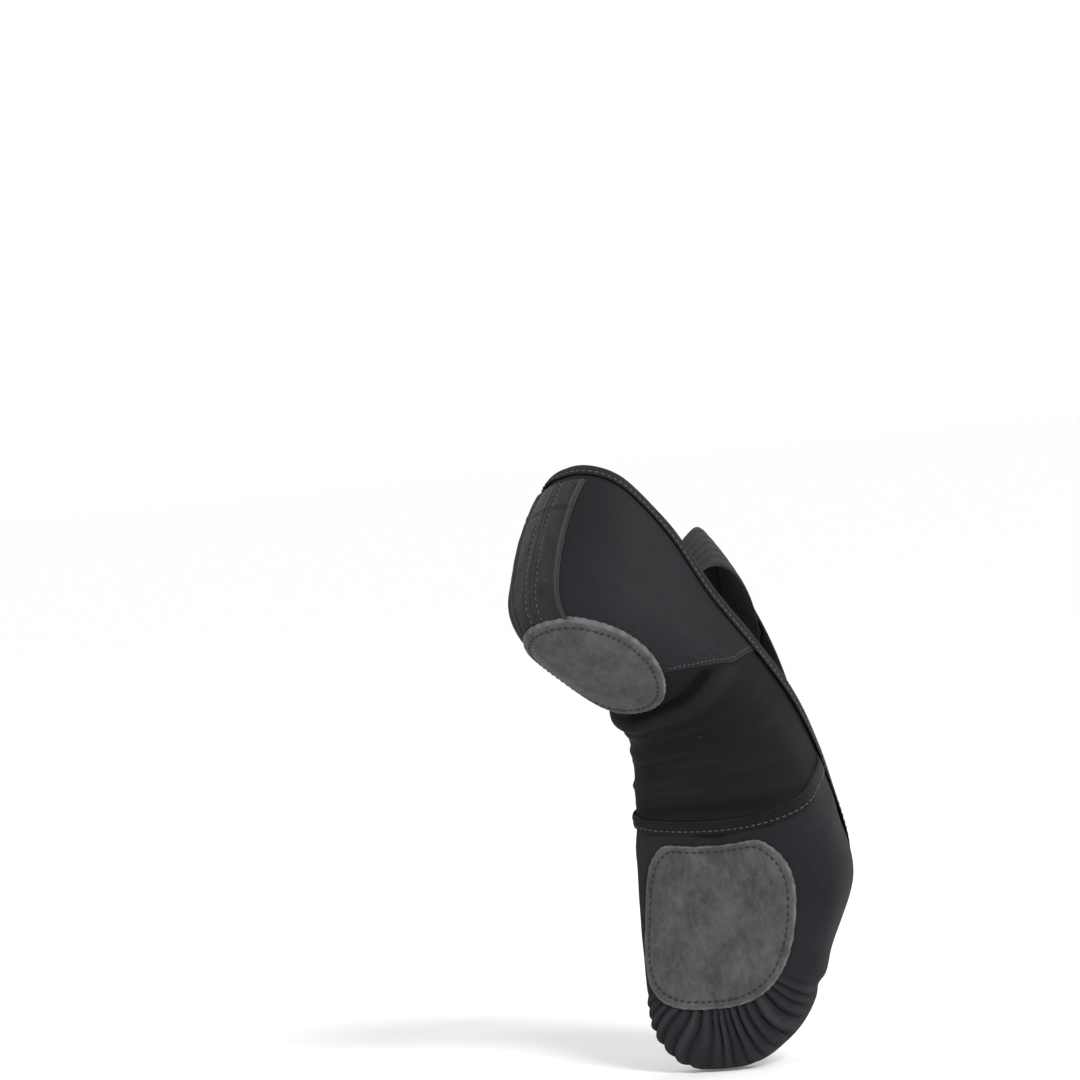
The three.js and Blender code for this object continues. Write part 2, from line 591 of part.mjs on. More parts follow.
function heelStrip(yFrom, yTo, zFrom, zTo, offIn, offOut, columns, rows) {
  const layer = (off) => steps(rows).map((r) => steps(columns).map((c) =>
    heelPoint(THREE.MathUtils.lerp(yFrom, yTo, c), THREE.MathUtils.lerp(zFrom, zTo, r), off)));
  return gridSolid([layer(offOut), layer(offIn)]);
}

const BACKSTAY_TOP_GAP = 2;         // between its upper end and the binding
const BACKSTAY_TOP = TOPLINE_BACK - BINDING_WIDTH - BACKSTAY_TOP_GAP;
const THREAD_END_GAP = 0.5;

function backstaySolid(side) {
  return heelStrip((side * CLEARANCE) / 2, side * BACKSTAY_HALF_WIDTH, BACKSTAY_FOOT, BACKSTAY_TOP,
    TRIM_IN, TRIM_IN + BINDING, 6, 9);
}

function backstayThreadSolid(side) {
  const low = TRIM_IN + BINDING + CLEARANCE;
  const y = side * (BACKSTAY_HALF_WIDTH - BACKSTAY_EDGE);
  return heelStrip(y, y - side * TRIM_STITCH, BACKSTAY_FOOT + THREAD_END_GAP, BACKSTAY_TOP - THREAD_END_GAP,
    low, low + THREAD, 1, 12);
}

// ---------------------------------------------------------------- crossed elastic straps
const STRAP_REAR = 0.24;            // where a strap leaves the opening's edge
const STRAP_FRONT = 0.60;
const STRAP_LIFT = ELASTIC + 2 * CLEARANCE;
const CROSSING = { place: 0.5, reach: 0.22, steepness: 4 };   // where and how the upper strap rises
const STRAP_NUDGE = 0.01;

function strapSolid(side, over) {
  const rear = sideAngle(STRAP_REAR);
  const front = throatAngle(STRAP_FRONT);
  const spanAngle = 180 - front - rear;
  const place = (s) => {
    const angle = rear + s * spanAngle;
    return { t: STRAP_REAR + s * (STRAP_FRONT - STRAP_REAR), angle: mirrored(angle, side) };
  };
  const path = steps(STRAP_STATIONS).map((s) => THREE.MathUtils.lerp(-STRAP_TAIL, 1 + STRAP_TAIL, s));
  const half = STRAP_WIDTH / 2;
  const stations = path.map((s) => {
    const here = place(s);
    const [before, after] = [place(s - STRAP_NUDGE), place(s + STRAP_NUDGE)];
    const hump = over * STRAP_LIFT
      * Math.exp(-(((s - CROSSING.place) / CROSSING.reach) ** CROSSING.steepness));
    const top = STRAP_OUT + hump;
    return [[-half, top], [0, top], [half, top], [half, top - ELASTIC], [0, top - ELASTIC],
      [-half, top - ELASTIC]].map(([aside, off]) => besidePath(here, before, after, aside, off));
  });
  return sweptSolid(stations, false);
}

// ---------------------------------------------------------------- the slipper
const slipper = new THREE.Group();

function add(name, geometry, color, roughness) {
  const material = new THREE.MeshStandardMaterial({ color, roughness, metalness: 0 });
  const mesh = new THREE.Mesh(geometry, material);
  mesh.name = name;
  slipper.add(mesh);
}

const CLOTH = '#2c2c30';
const LINING_COLOUR = '#38383c';
const STRETCH = '#202023';
const NAP = '#4b4b4e';
const YARN = '#45454a';
const RIBBED = '#2f2f33';

add('vamp', vampSolid(CANVAS_IN, CANVAS_OUT), CLOTH, 0.9);
add('vamp_lining', vampSolid(LINING_IN, LINING_OUT), LINING_COLOUR, 0.95);
add('arch_panel', archPanelSolid(), STRETCH, 0.8);
add('front_sole_patch', solePatchSolid(FRONT_PATCH), NAP, 1);
add('front_sole_stitching', stitchRingSolid(FRONT_PATCH), YARN, 0.8);
add('front_inner_pad', innerPadSolid(FRONT_PATCH), LINING_COLOUR, 0.95);
add('heel_sole_patch', solePatchSolid(HEEL_PATCH), NAP, 1);
add('heel_sole_stitching', stitchRingSolid(HEEL_PATCH), YARN, 0.8);
add('heel_inner_pad', innerPadSolid(HEEL_PATCH), LINING_COLOUR, 0.95);
add('topline_binding', bindingSolid(), CLOTH, 0.9);
add('topline_stitching', toplineThreadSolid(), YARN, 0.8);
add('vamp_seam_tape', seamTapeSolid(), CLOTH, 0.9);
add('vamp_seam_stitching', seamTapeThreadSolid(), YARN, 0.8);
for (const [side, word] of [[-1, 'outer'], [1, 'inner']]) {
  add(`quarter_${word}`, quarterSolid(side, CANVAS_IN, CANVAS_OUT), CLOTH, 0.9);
  add(`quarter_lining_${word}`, quarterSolid(side, LINING_IN, LINING_OUT), LINING_COLOUR, 0.95);
  add(`backstay_${word}`, backstaySolid(side), NAP, 0.9);
  add(`backstay_stitching_${word}`, backstayThreadSolid(side), YARN, 0.8);
  add(`quarter_seam_stitching_${word}`, rearSeamThreadSolid(side), YARN, 0.8);
}
add('elastic_strap_under', strapSolid(-1, 0), RIBBED, 0.75);
add('elastic_strap_over', strapSolid(1, 1), RIBBED, 0.75);

export default slipper;
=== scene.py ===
# %% [markdown]
# # A split-sole ballet slipper in stretch canvas
#
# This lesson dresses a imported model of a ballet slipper, worn by a pointed right foot. The slipper
# is a thin shell of cloth with two suede patches under it. Nothing on it is flat or straight, so
# every piece is drawn on one foot-shaped form, first laid flat and then bent at the arch. All
# drawing sizes are in millimetres, and one function turns them into metres in the model's frame.

# %% Load the frame
import math

import bpy
import numpy as np
from mathutils import Matrix, Vector
from mathutils.kdtree import KDTree


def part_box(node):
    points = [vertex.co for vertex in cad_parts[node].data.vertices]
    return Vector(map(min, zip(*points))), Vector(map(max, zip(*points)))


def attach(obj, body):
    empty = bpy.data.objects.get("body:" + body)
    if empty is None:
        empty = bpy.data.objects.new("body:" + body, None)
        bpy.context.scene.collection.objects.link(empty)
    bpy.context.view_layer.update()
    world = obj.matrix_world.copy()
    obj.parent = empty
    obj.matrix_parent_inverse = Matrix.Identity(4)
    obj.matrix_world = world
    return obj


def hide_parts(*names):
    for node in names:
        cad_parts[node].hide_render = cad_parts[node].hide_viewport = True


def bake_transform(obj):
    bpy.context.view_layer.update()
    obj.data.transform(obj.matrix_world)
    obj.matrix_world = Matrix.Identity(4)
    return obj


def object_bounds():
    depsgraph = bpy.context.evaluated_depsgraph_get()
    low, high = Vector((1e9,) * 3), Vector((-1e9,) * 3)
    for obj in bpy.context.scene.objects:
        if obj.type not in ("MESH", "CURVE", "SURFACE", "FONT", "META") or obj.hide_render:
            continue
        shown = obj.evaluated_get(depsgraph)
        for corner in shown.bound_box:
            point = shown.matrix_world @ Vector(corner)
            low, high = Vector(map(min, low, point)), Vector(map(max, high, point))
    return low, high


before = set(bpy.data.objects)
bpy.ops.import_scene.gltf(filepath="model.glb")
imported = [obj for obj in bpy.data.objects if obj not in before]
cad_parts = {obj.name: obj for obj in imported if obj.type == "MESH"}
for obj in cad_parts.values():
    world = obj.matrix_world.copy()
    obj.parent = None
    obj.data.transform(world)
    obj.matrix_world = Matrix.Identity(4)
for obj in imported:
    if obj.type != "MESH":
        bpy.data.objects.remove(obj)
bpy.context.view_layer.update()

# %% [markdown]
# ## The foot form, laid flat
#
# A shoemaker starts from a last, a wooden foot. Here the last is a rule: at each share of the
# length there is a width, a height and a centre, and the section between them is a rounded square
# with a flat sole. It could be sculpted instead, but a rule lets two layers of cloth lie exactly
# side by side, because the same place can be asked for with a different distance from the foot.

# %% Sizes of the form
FOOT_LENGTH = 245.0
HEEL_HALF_WIDTH, ARCH_HALF_WIDTH, BALL_HALF_WIDTH, TOE_HALF_WIDTH = 24.0, 30.0, 42.0, 28.0
INSTEP_HEIGHT, BALL_HEIGHT, TOE_HEIGHT = 90.0, 52.0, 23.0
TOPLINE_BACK, TOPLINE_SIDE = 72.0, 36.0      # height of the opening's edge, heel and arch
THROAT_PLACE = 0.745                         # front end of the opening, share of the length
SEAM_REAR_SOLE, SEAM_REAR_TOP = 0.18, 0.390  # quarters to arch panel
SEAM_FRONT_SOLE, SEAM_FRONT_OUTER, SEAM_FRONT_INNER = 0.606, 0.528, 0.565
HEEL_ROUND, TOE_ROUND, ROUNDNESS = 0.115, 0.13, 2.4
HEEL_SQUARENESS, BALL_SQUARENESS, TOP_SQUARENESS = 2.1, 2.6, 1.9
HEEL_EDGE, TOE_EDGE, EDGE_LIFT, TOE_TOP_LEFT = 0.15, 0.05, 0.4, 0.5
SOLE_FLAT, HEEL_HOLLOW, HOLLOW_HEIGHT = 2.0, 9.0, 28.0
SOLE_SOFTNESS = 2.2                          # how softly the flat sole turns into the sides

LINING_OUT = 0.6                             # distances out from the foot
CANVAS_IN, CANVAS_OUT = 0.9, 1.7
TRIM_IN, TRIM_OUT = 2.0, 2.6
SUEDE_OUT = 3.2
KNIT_IN, KNIT_OUT = 0.35, 1.35


def smooth(value, low, high):
    share = np.clip((value - low) / (high - low), 0, 1)
    return share * share * (3 - 2 * share)


def bump(value, middle, width):
    return np.exp(-((value - middle) / width) ** 2)


def curve_through(pairs):
    """A smooth curve through (place, value) pairs."""
    knots = np.array(pairs, float)
    last = len(knots) - 1
    after, before = np.minimum(np.arange(last + 1) + 1, last), np.maximum(np.arange(last + 1) - 1, 0)
    slopes = (knots[after, 1] - knots[before, 1]) / (knots[after, 0] - knots[before, 0])

    def curve(place):
        place = np.asarray(place, float)
        k = np.clip(np.searchsorted(knots[1:-1, 0], place), 0, last - 1)
        span = knots[k + 1, 0] - knots[k, 0]
        s = np.clip((place - knots[k, 0]) / span, 0, 1)
        return (knots[k, 1] * (1 + 2 * s) * (1 - s) ** 2 + slopes[k] * span * s * (1 - s) ** 2
                + knots[k + 1, 1] * s * s * (3 - 2 * s) + slopes[k + 1] * span * s * s * (s - 1))
    return curve


half_width = curve_through([(0, HEEL_HALF_WIDTH), (0.28, (HEEL_HALF_WIDTH + ARCH_HALF_WIDTH) / 2),
                            (0.45, ARCH_HALF_WIDTH + 1), (0.62, BALL_HALF_WIDTH - 3),
                            (0.72, BALL_HALF_WIDTH), (0.86, (BALL_HALF_WIDTH + TOE_HALF_WIDTH) / 2),
                            (1, TOE_HALF_WIDTH)])
centre_line = curve_through([(0, 0), (0.3, 3), (0.5, 4), (0.7, -2), (0.85, 4), (1, 11)])
top_height = curve_through([(0, INSTEP_HEIGHT), (0.15, INSTEP_HEIGHT), (0.3, INSTEP_HEIGHT),
                            (0.45, INSTEP_HEIGHT - 12), (0.6, (INSTEP_HEIGHT + BALL_HEIGHT) / 2 - 7),
                            (0.72, BALL_HEIGHT), (0.85, (BALL_HEIGHT + TOE_HEIGHT) / 2),
                            (1, TOE_HEIGHT)])
widest_height = curve_through([(0, 22), (0.3, 20), (0.6, 18), (0.8, 14), (1, 10)])
topline_height = curve_through([(0, TOPLINE_BACK), (0.1, TOPLINE_BACK - 3),
                                (0.2, (TOPLINE_BACK + TOPLINE_SIDE) / 2 + 7),
                                (0.3, TOPLINE_SIDE + 8), (0.39, TOPLINE_SIDE),
                                (0.47, TOPLINE_SIDE + 1), (SEAM_FRONT_OUTER, TOPLINE_SIDE + 4)])


# %% Points of the form
def super_round(share, power):
    return (1 - (1 - np.clip(share, 0, 1)) ** power) ** (1 / power)


def end_round(t, heel, toe):
    return np.minimum(super_round(t / heel, ROUNDNESS), super_round((1 - t) / toe, ROUNDNESS))


def section(t, off):
    """Height of the widest line, half width, and depth below and above that line."""
    turn = end_round(t, HEEL_EDGE, TOE_EDGE)
    toe_turn = super_round((1 - t) / TOE_ROUND, ROUNDNESS)
    middle = widest_height(t)
    return (middle, (half_width(t) + off) * end_round(t, HEEL_ROUND, TOE_ROUND),
            (middle + off + SOLE_FLAT) * (EDGE_LIFT + (1 - EDGE_LIFT) * turn),
            (top_height(t) - middle + off) * (TOE_TOP_LEFT + (1 - TOE_TOP_LEFT) * toe_turn))


def heel_lean(t, height):
    near = np.maximum(0, 1 - t / 0.25) ** 2
    return HEEL_HOLLOW * near * ((height - HOLLOW_HEIGHT) / (TOPLINE_BACK - HOLLOW_HEIGHT)) ** 2


def form_point(t, angle, off):
    """t along the foot, angle round it (-90 sole, 0 outer side, 90 instep), off outward."""
    t, angle, off = np.broadcast_arrays(*(np.asarray(v, float) for v in (t, angle, off)))
    middle, wide, below, above = section(t, off)
    c, s = np.cos(np.radians(angle)), np.sin(np.radians(angle))
    lower = HEEL_SQUARENESS + (BALL_SQUARENESS - HEEL_SQUARENESS) * smooth(t, 0.25, 0.6)
    power = 2 / np.where(s < 0, lower, TOP_SQUARENESS)
    aside = -np.sign(c) * np.abs(c) ** power * wide
    above_ground = middle + np.abs(s) ** power * np.where(s < 0, -below, above) + off
    height = (above_ground + np.sqrt(above_ground ** 2 + SOLE_SOFTNESS ** 2)) / 2 - off
    along = -off + t * (FOOT_LENGTH + 2 * off) + heel_lean(t, height)
    return np.stack([along, centre_line(t) + aside, height], -1)


def sole_point(x, aside, off):
    """A place under the foot, at a distance measured round the section from the sole's middle."""
    x, aside, off = np.broadcast_arrays(*(np.asarray(v, float) for v in (x, aside, off)))
    t = (x + off) / (FOOT_LENGTH + 2 * off)
    step = np.where(aside < 0, 3.0, -3.0)
    here = form_point(t, -90, off)
    left = np.abs(aside)
    done = np.zeros(left.shape, bool)
    found = here.copy()
    for k in range(1, 45):
        ahead = form_point(t, -90 + k * step, off)
        gap = np.maximum(np.linalg.norm(ahead - here, axis=-1), 1e-9)
        stops = ~done & (gap >= left)
        share = np.clip(left / gap, 0, 1)[..., None]
        found = np.where(stops[..., None], here + (ahead - here) * share, found)
        done |= stops
        left = left - np.where(done, 0, gap)
        here = ahead
        if done.all():
            break
    return found


def angle_at_height(t, height):
    middle, _, _, above = section(t, CANVAS_OUT)
    return np.degrees(np.arcsin(np.clip((height - middle) / above, 0, 1) ** (TOP_SQUARENESS / 2)))


# %% [markdown]
# ## Bending the flat slipper into a pointed foot
#
# The slipper is cut and sewn flat, and the foot bends it at the arch. The same happens here: a
# spine runs along the sole, its direction turns smoothly between two places, and each point is
# carried by the part of the spine below it. An armature could do this too, but then the pieces
# would not be plain meshes in their final place.

# %% The spine
ARCH_BEND, FOREFOOT_PITCH = 60.0, 91.0
BEND_START, BEND_END = 68.0, 150.0
NEUTRAL_HEIGHT = 18.0                         # this height above the sole keeps its length
SPINE_STEPS, SPINE_MARGIN = 600, 40.0
BEND_AXIS = np.array([0.15, -0.94, -0.30])
BEND_AXIS /= np.linalg.norm(BEND_AXIS)
PITCH_TURN = np.array(Matrix.Rotation(math.radians(FOREFOOT_PITCH), 3, "Y"))


def turned(vectors, x):
    angle = np.radians(ARCH_BEND) * (1 - smooth(x, BEND_START, BEND_END))
    c, s = np.cos(angle)[..., None], np.sin(angle)[..., None]
    across = np.cross(np.broadcast_to(BEND_AXIS, vectors.shape), vectors)
    bent_only = vectors * c + across * s + BEND_AXIS * ((vectors @ BEND_AXIS)[..., None] * (1 - c))
    return bent_only @ PITCH_TURN.T


spine_step = (FOOT_LENGTH + 2 * SPINE_MARGIN) / SPINE_STEPS
spine_middles = -SPINE_MARGIN + (np.arange(SPINE_STEPS) + 0.5) * spine_step
spine_places = np.vstack([np.zeros(3), np.cumsum(
    turned(np.tile([spine_step, 0, 0], (SPINE_STEPS, 1)), spine_middles), axis=0)])


def bent(points):
    x = points[..., 0]
    place = (x + SPINE_MARGIN) / spine_step
    k = np.clip(np.floor(place).astype(int), 0, SPINE_STEPS - 1)
    share = (place - k)[..., None]
    centre = spine_places[k] * (1 - share) + spine_places[k + 1] * share
    offset = np.stack([np.zeros_like(x), points[..., 1], points[..., 2] - NEUTRAL_HEIGHT], -1)
    return centre + turned(offset, x)


opening_centre = bent(np.array([0.4 * FOOT_LENGTH, float(centre_line(0.4)),
                                (TOPLINE_BACK + TOPLINE_SIDE) / 2]))


def in_frame(points):
    """Flat millimetres to metres in the model's frame, origin in the foot opening."""
    return (bent(np.asarray(points, float)) - opening_centre) * 0.001


ARCH_FRONT_END = Vector(in_frame([BEND_END - 6, float(centre_line(0.6)), NEUTRAL_HEIGHT]))
ARCH_REAR_END = Vector(in_frame([BEND_START + 8, float(centre_line(0.3)), NEUTRAL_HEIGHT]))
patch_low, patch_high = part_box("front_sole_patch")
print("arch blend from", tuple(round(v, 4) for v in ARCH_FRONT_END),
      "to", tuple(round(v, 4) for v in ARCH_REAR_END))
print("packed front patch:", tuple(patch_low), tuple(patch_high))


# %% [markdown]
# ## The camera, and a way to see the slipper as it is worn
#
# The camera looks from behind and a little above, with a long lens, as in a studio.

# %% Camera
VIEW_AZIMUTH, VIEW_ELEVATION, VIEW_ROLL = math.radians(-67), math.radians(6), math.radians(-5.6)
VIEW_DISTANCE, FRAME_WIDTH = 2.5, 0.4277      # the frame's width at that distance, in metres
AIM_RIGHT, AIM_UP = -0.0861, 0.2063           # where the middle of the frame lies from the toes
TOE_REST = Vector((-0.017914, -0.007676, -0.165717))
SENSOR = 36.0

view_back = Vector((math.sin(VIEW_AZIMUTH) * math.cos(VIEW_ELEVATION),
                    -math.cos(VIEW_AZIMUTH) * math.cos(VIEW_ELEVATION), math.sin(VIEW_ELEVATION)))
level_right = Vector((math.cos(VIEW_AZIMUTH), math.sin(VIEW_AZIMUTH), 0))
level_up = view_back.cross(level_right)
view_right = level_right * math.cos(VIEW_ROLL) + level_up * math.sin(VIEW_ROLL)
view_up = level_up * math.cos(VIEW_ROLL) - level_right * math.sin(VIEW_ROLL)
camera_place = TOE_REST + view_back * VIEW_DISTANCE
aim = (-view_back * VIEW_DISTANCE + view_right * AIM_RIGHT + view_up * AIM_UP).normalized()
aim_right = aim.cross(view_up).normalized()
aim_up = aim_right.cross(aim)

camera_data = bpy.data.cameras.new("studio_camera")
camera_data.sensor_width = SENSOR
camera_data.lens = SENSOR * VIEW_DISTANCE / FRAME_WIDTH
camera_data.clip_end = 100
camera = bpy.data.objects.new("studio_camera", camera_data)
camera.matrix_world = Matrix.Translation(camera_place) @ Matrix(
    (aim_right, aim_up, -aim)).transposed().to_4x4()
bpy.context.scene.collection.objects.link(camera)
bpy.context.scene.camera = camera
print("lens", round(camera_data.lens, 1), "mm")


# %% [markdown]
# ## Turning grids of points into closed cloth
#
# Cloth has two faces and an edge. A Solidify modifier could add the second face, but the layers
# of a slipper lie fractions of a millimetre apart, so both faces are asked of the form itself
# and joined by a rim. Each mesh gets a cloth map: millimetres along and across the fabric.

# %% Mesh helpers
def cloth_lengths(points):
    """Millimetres run along and across a grid of points."""
    run = np.zeros(points.shape[:2] + (2,))
    run[:, 1:, 0] = np.cumsum(np.linalg.norm(np.diff(points, axis=1), axis=-1), axis=1)
    run[1:, :, 1] = np.cumsum(np.linalg.norm(np.diff(points, axis=0), axis=-1), axis=0)
    return run


def make_mesh(name, vertices, faces, corner_map, marks=None):
    """A mesh object with outward faces, smooth shading, a cloth map and per-point marks."""
    mesh = bpy.data.meshes.new(name)
    vertices = np.asarray(vertices, float)
    a, b, c = (vertices[faces[:, k]] for k in (0, 1, 2))
    volume = np.einsum("ij,ij->", a, np.cross(b, c))
    d = vertices[faces[:, 3]]
    volume += np.einsum("ij,ij->", a, np.cross(c, d))
    if volume < 0:
        faces, corner_map = faces[:, ::-1], corner_map[:, ::-1]
    thin = faces[:, 3] == faces[:, 2]
    thin_first = faces[:, 0] == faces[:, 1]
    lists = [f[1:] if first else f[:3] if tri else f
             for f, tri, first in zip(faces.tolist(), thin, thin_first)]
    corners = [m[1:] if first else m[:3] if tri else m
               for m, tri, first in zip(corner_map.tolist(), thin, thin_first)]
    mesh.from_pydata(vertices.tolist(), [], lists)
    layer = mesh.uv_layers.new(name="cloth")
    layer.data.foreach_set("uv", np.array([v for face in corners for v in face], float).ravel())
    for mark, values in (marks or {}).items():
        mesh.attributes.new(mark, "FLOAT", "POINT").data.foreach_set(
            "value", np.asarray(values, np.float32).ravel())
    mesh.polygons.foreach_set("use_smooth", [True] * len(mesh.polygons))
    mesh.update()
    obj = bpy.data.objects.new(name, mesh)
    bpy.context.scene.collection.objects.link(obj)
    return obj


def grid_quads(ids, close_columns=False, close_rows=False):
    if close_columns:
        ids = np.concatenate([ids, ids[:, :1]], axis=1)
    if close_rows:
        ids = np.concatenate([ids, ids[:1]], axis=0)
    return np.stack([ids[:-1, :-1], ids[:-1, 1:], ids[1:, 1:], ids[1:, :-1]], -1).reshape(-1, 4)


def fan(row, ahead, centre):
    """Triangles from a row of points to one centre, each with that corner written twice."""
    twice = np.full(len(row), centre)
    return np.stack([row, ahead, twice, twice], -1)


def close_map(corner_map, axis, period):
    """Moves the corners that have begun again at zero one whole turn on, face by face."""
    places = corner_map[..., axis]
    low = places.min(1, keepdims=True)
    wraps = places.max(1, keepdims=True) - low > period * 0.5
    places += np.where(wraps & (places < low + period * 0.25), period, 0)


def double_cloth(name, outer, inner, ring=False, tips=None, marks=None):
    """Closed cloth from two flat-form grids; ring joins the last column to the first."""
    rows, columns = outer.shape[:2]
    ids = np.arange(rows * columns).reshape(rows, columns)
    under = ids + rows * columns
    faces = [grid_quads(ids, ring), grid_quads(under, ring)[:, ::-1],
             grid_quads(np.stack([under[0], ids[0]]), ring)]
    points = np.concatenate([outer.reshape(-1, 3), inner.reshape(-1, 3)])
    if tips is None:
        faces.append(grid_quads(np.stack([ids[-1], under[-1]]), ring))
    else:
        points = np.concatenate([points, tips])
        faces.append(fan(ids[-1], np.roll(ids[-1], -1), len(points) - 2))
        faces.append(fan(np.roll(under[-1], -1), under[-1], len(points) - 1))
    if not ring:
        faces.append(grid_quads(np.stack([ids[:, 0], under[:, 0]])))
        faces.append(grid_quads(np.stack([under[:, -1], ids[:, -1]])))
    faces = np.concatenate(faces)
    run = cloth_lengths(outer).reshape(-1, 2)
    run = np.concatenate([run, run] + ([run[-1:], run[-1:]] if tips is not None else []))
    corner_map = run[faces]
    if ring:
        close_map(corner_map, 0, run[ids[:, -1], 0].mean())
    if marks:
        marks = {k: np.concatenate([np.ravel(v), np.ravel(v)] + ([[0, 0]] if tips is not None else []))
                 for k, v in marks.items()}
    return make_mesh(name, in_frame(points), faces, corner_map, marks)


def swept_cloth(name, stations, closed, marks=None):
    """A section of points carried along a path; the ends are joined or capped."""
    count, sides = stations.shape[:2]
    ids = np.arange(count * sides).reshape(count, sides)
    faces = [grid_quads(ids, True, closed)]
    run = cloth_lengths(stations).reshape(-1, 2)
    points = stations.reshape(-1, 3)
    if not closed:
        points = np.concatenate([points, stations[:1].mean(1), stations[-1:].mean(1)])
        run = np.concatenate([run, run[:1], run[-1:]])
        faces.append(fan(np.roll(ids[0], -1), ids[0], len(points) - 2))
        faces.append(fan(ids[-1], np.roll(ids[-1], -1), len(points) - 1))
    faces = np.concatenate(faces)
    corner_map = run[faces]
    for axis in (0, 1):
        close_map(corner_map, axis, np.ptp(run[:, axis]))
    if marks and not closed:
        marks = {k: np.concatenate([np.ravel(v), [0, 0]]) for k, v in marks.items()}
    return make_mesh(name, in_frame(points), faces, corner_map, marks)


# %% [markdown]
# ## Colours and finishes
#
# Everything here is black, so the pieces differ by how they hold light: canvas is a matt weave
# with a faint blue, the knit under the arch is smoother and darker, suede is grey with a nap
# that lies in patches, and thread catches small lights. Effects that several fabrics share are
# node groups, built once. They give out only colours, masks and heights; the shader stays in
# each material.

# %% Shader groups
def new_group(name, inputs, outputs, kind="ShaderNodeTree"):
    tree = bpy.data.node_groups.new(name, kind)
    for label, socket_type, value in inputs:
        socket = tree.interface.new_socket(label, in_out="INPUT", socket_type=socket_type)
        if value is not None:
            socket.default_value = value
    for label, socket_type in outputs:
        tree.interface.new_socket(label, in_out="OUTPUT", socket_type=socket_type)
    return tree, tree.nodes.new("NodeGroupInput"), tree.nodes.new("NodeGroupOutput")


def feed(tree, socket, value):
    if isinstance(value, bpy.types.NodeSocket):
        tree.links.new(value, socket)
    else:
        socket.default_value = value


def maths(tree, operation, a, b=0.5, c=None, clamp=False):
    node = tree.nodes.new("ShaderNodeMath")
    node.operation, node.use_clamp = operation, clamp
    for socket, value in zip(node.inputs, (a, b, c)):
        if value is not None:
            feed(tree, socket, value)
    return node.outputs[0]


def ranged(tree, value, low, high, to_low=0.0, to_high=1.0):
    node = tree.nodes.new("ShaderNodeMapRange")
    for label, v in (("Value", value), ("From Min", low), ("From Max", high),
                     ("To Min", to_low), ("To Max", to_high)):
        feed(tree, node.inputs[label], v)
    return node.outputs["Result"]


def noise(tree, vector, scale, detail=3.0, rough=0.55, distortion=0.0):
    node = tree.nodes.new("ShaderNodeTexNoise")
    feed(tree, node.inputs["Vector"], vector)
    for label, v in (("Scale", scale), ("Detail", detail), ("Roughness", rough),
                     ("Distortion", distortion)):
        feed(tree, node.inputs[label], v)
    return node.outputs["Fac"]


def blended(tree, share, a, b, mode="MIX"):
    node = tree.nodes.new("ShaderNodeMix")
    node.data_type, node.blend_type = "RGBA", mode
    feed(tree, node.inputs[0], share)
    feed(tree, node.inputs[6], a)
    feed(tree, node.inputs[7], b)
    return node.outputs[2]


def weave_group():
    """Plain weave: warp and weft pass over each other in turn."""
    tree, given, out = new_group(
        "plain weave", [("Cloth map", "NodeSocketVector", None), ("Pitch", "NodeSocketFloat", 0.5),
                        ("Slub", "NodeSocketFloat", 0.25)],
        [("Height", "NodeSocketFloat"), ("Thread", "NodeSocketFloat")])
    split = tree.nodes.new("ShaderNodeSeparateXYZ")
    tree.links.new(given.outputs["Cloth map"], split.inputs[0])
    turn = maths(tree, "DIVIDE", math.pi, given.outputs["Pitch"])
    warp = maths(tree, "SINE", maths(tree, "MULTIPLY", split.outputs["X"], turn))
    weft = maths(tree, "SINE", maths(tree, "MULTIPLY", split.outputs["Y"], turn))
    over = maths(tree, "SIGN", maths(tree, "MULTIPLY", warp, weft))
    warp_up = maths(tree, "MULTIPLY", maths(tree, "ABSOLUTE", warp), ranged(tree, over, -1, 1, 0.45, 1))
    weft_up = maths(tree, "MULTIPLY", maths(tree, "ABSOLUTE", weft), ranged(tree, over, -1, 1, 1, 0.45))
    height = maths(tree, "MAXIMUM", warp_up, weft_up)
    slub = noise(tree, given.outputs["Cloth map"], 1.7, 4, 0.7)
    uneven = maths(tree, "MULTIPLY_ADD", maths(tree, "SUBTRACT", slub, 0.5), given.outputs["Slub"], 1)
    tree.links.new(maths(tree, "MULTIPLY", height, uneven), out.inputs["Height"])
    tree.links.new(ranged(tree, height, 0.35, 0.95), out.inputs["Thread"])
    return tree


def knit_group():
    """Fine stretch knit: narrow ribs with small loops along them."""
    tree, given, out = new_group(
        "stretch knit", [("Cloth map", "NodeSocketVector", None), ("Pitch", "NodeSocketFloat", 0.45)],
        [("Height", "NodeSocketFloat"), ("Thread", "NodeSocketFloat")])
    split = tree.nodes.new("ShaderNodeSeparateXYZ")
    tree.links.new(given.outputs["Cloth map"], split.inputs[0])
    turn = maths(tree, "DIVIDE", math.pi, given.outputs["Pitch"])
    across = maths(tree, "MULTIPLY", split.outputs["Y"], turn)
    rib = maths(tree, "ABSOLUTE", maths(tree, "SINE", across))
    slant = maths(tree, "MULTIPLY_ADD", maths(tree, "COSINE", across), 0.9,
                  maths(tree, "MULTIPLY", split.outputs["X"], turn))
    loop = maths(tree, "ABSOLUTE", maths(tree, "SINE", slant))
    height = maths(tree, "MULTIPLY_ADD", loop, 0.4, maths(tree, "MULTIPLY", rib, 0.6))
    tree.links.new(height, out.inputs["Height"])
    tree.links.new(ranged(tree, height, 0.3, 0.9), out.inputs["Thread"])
    return tree


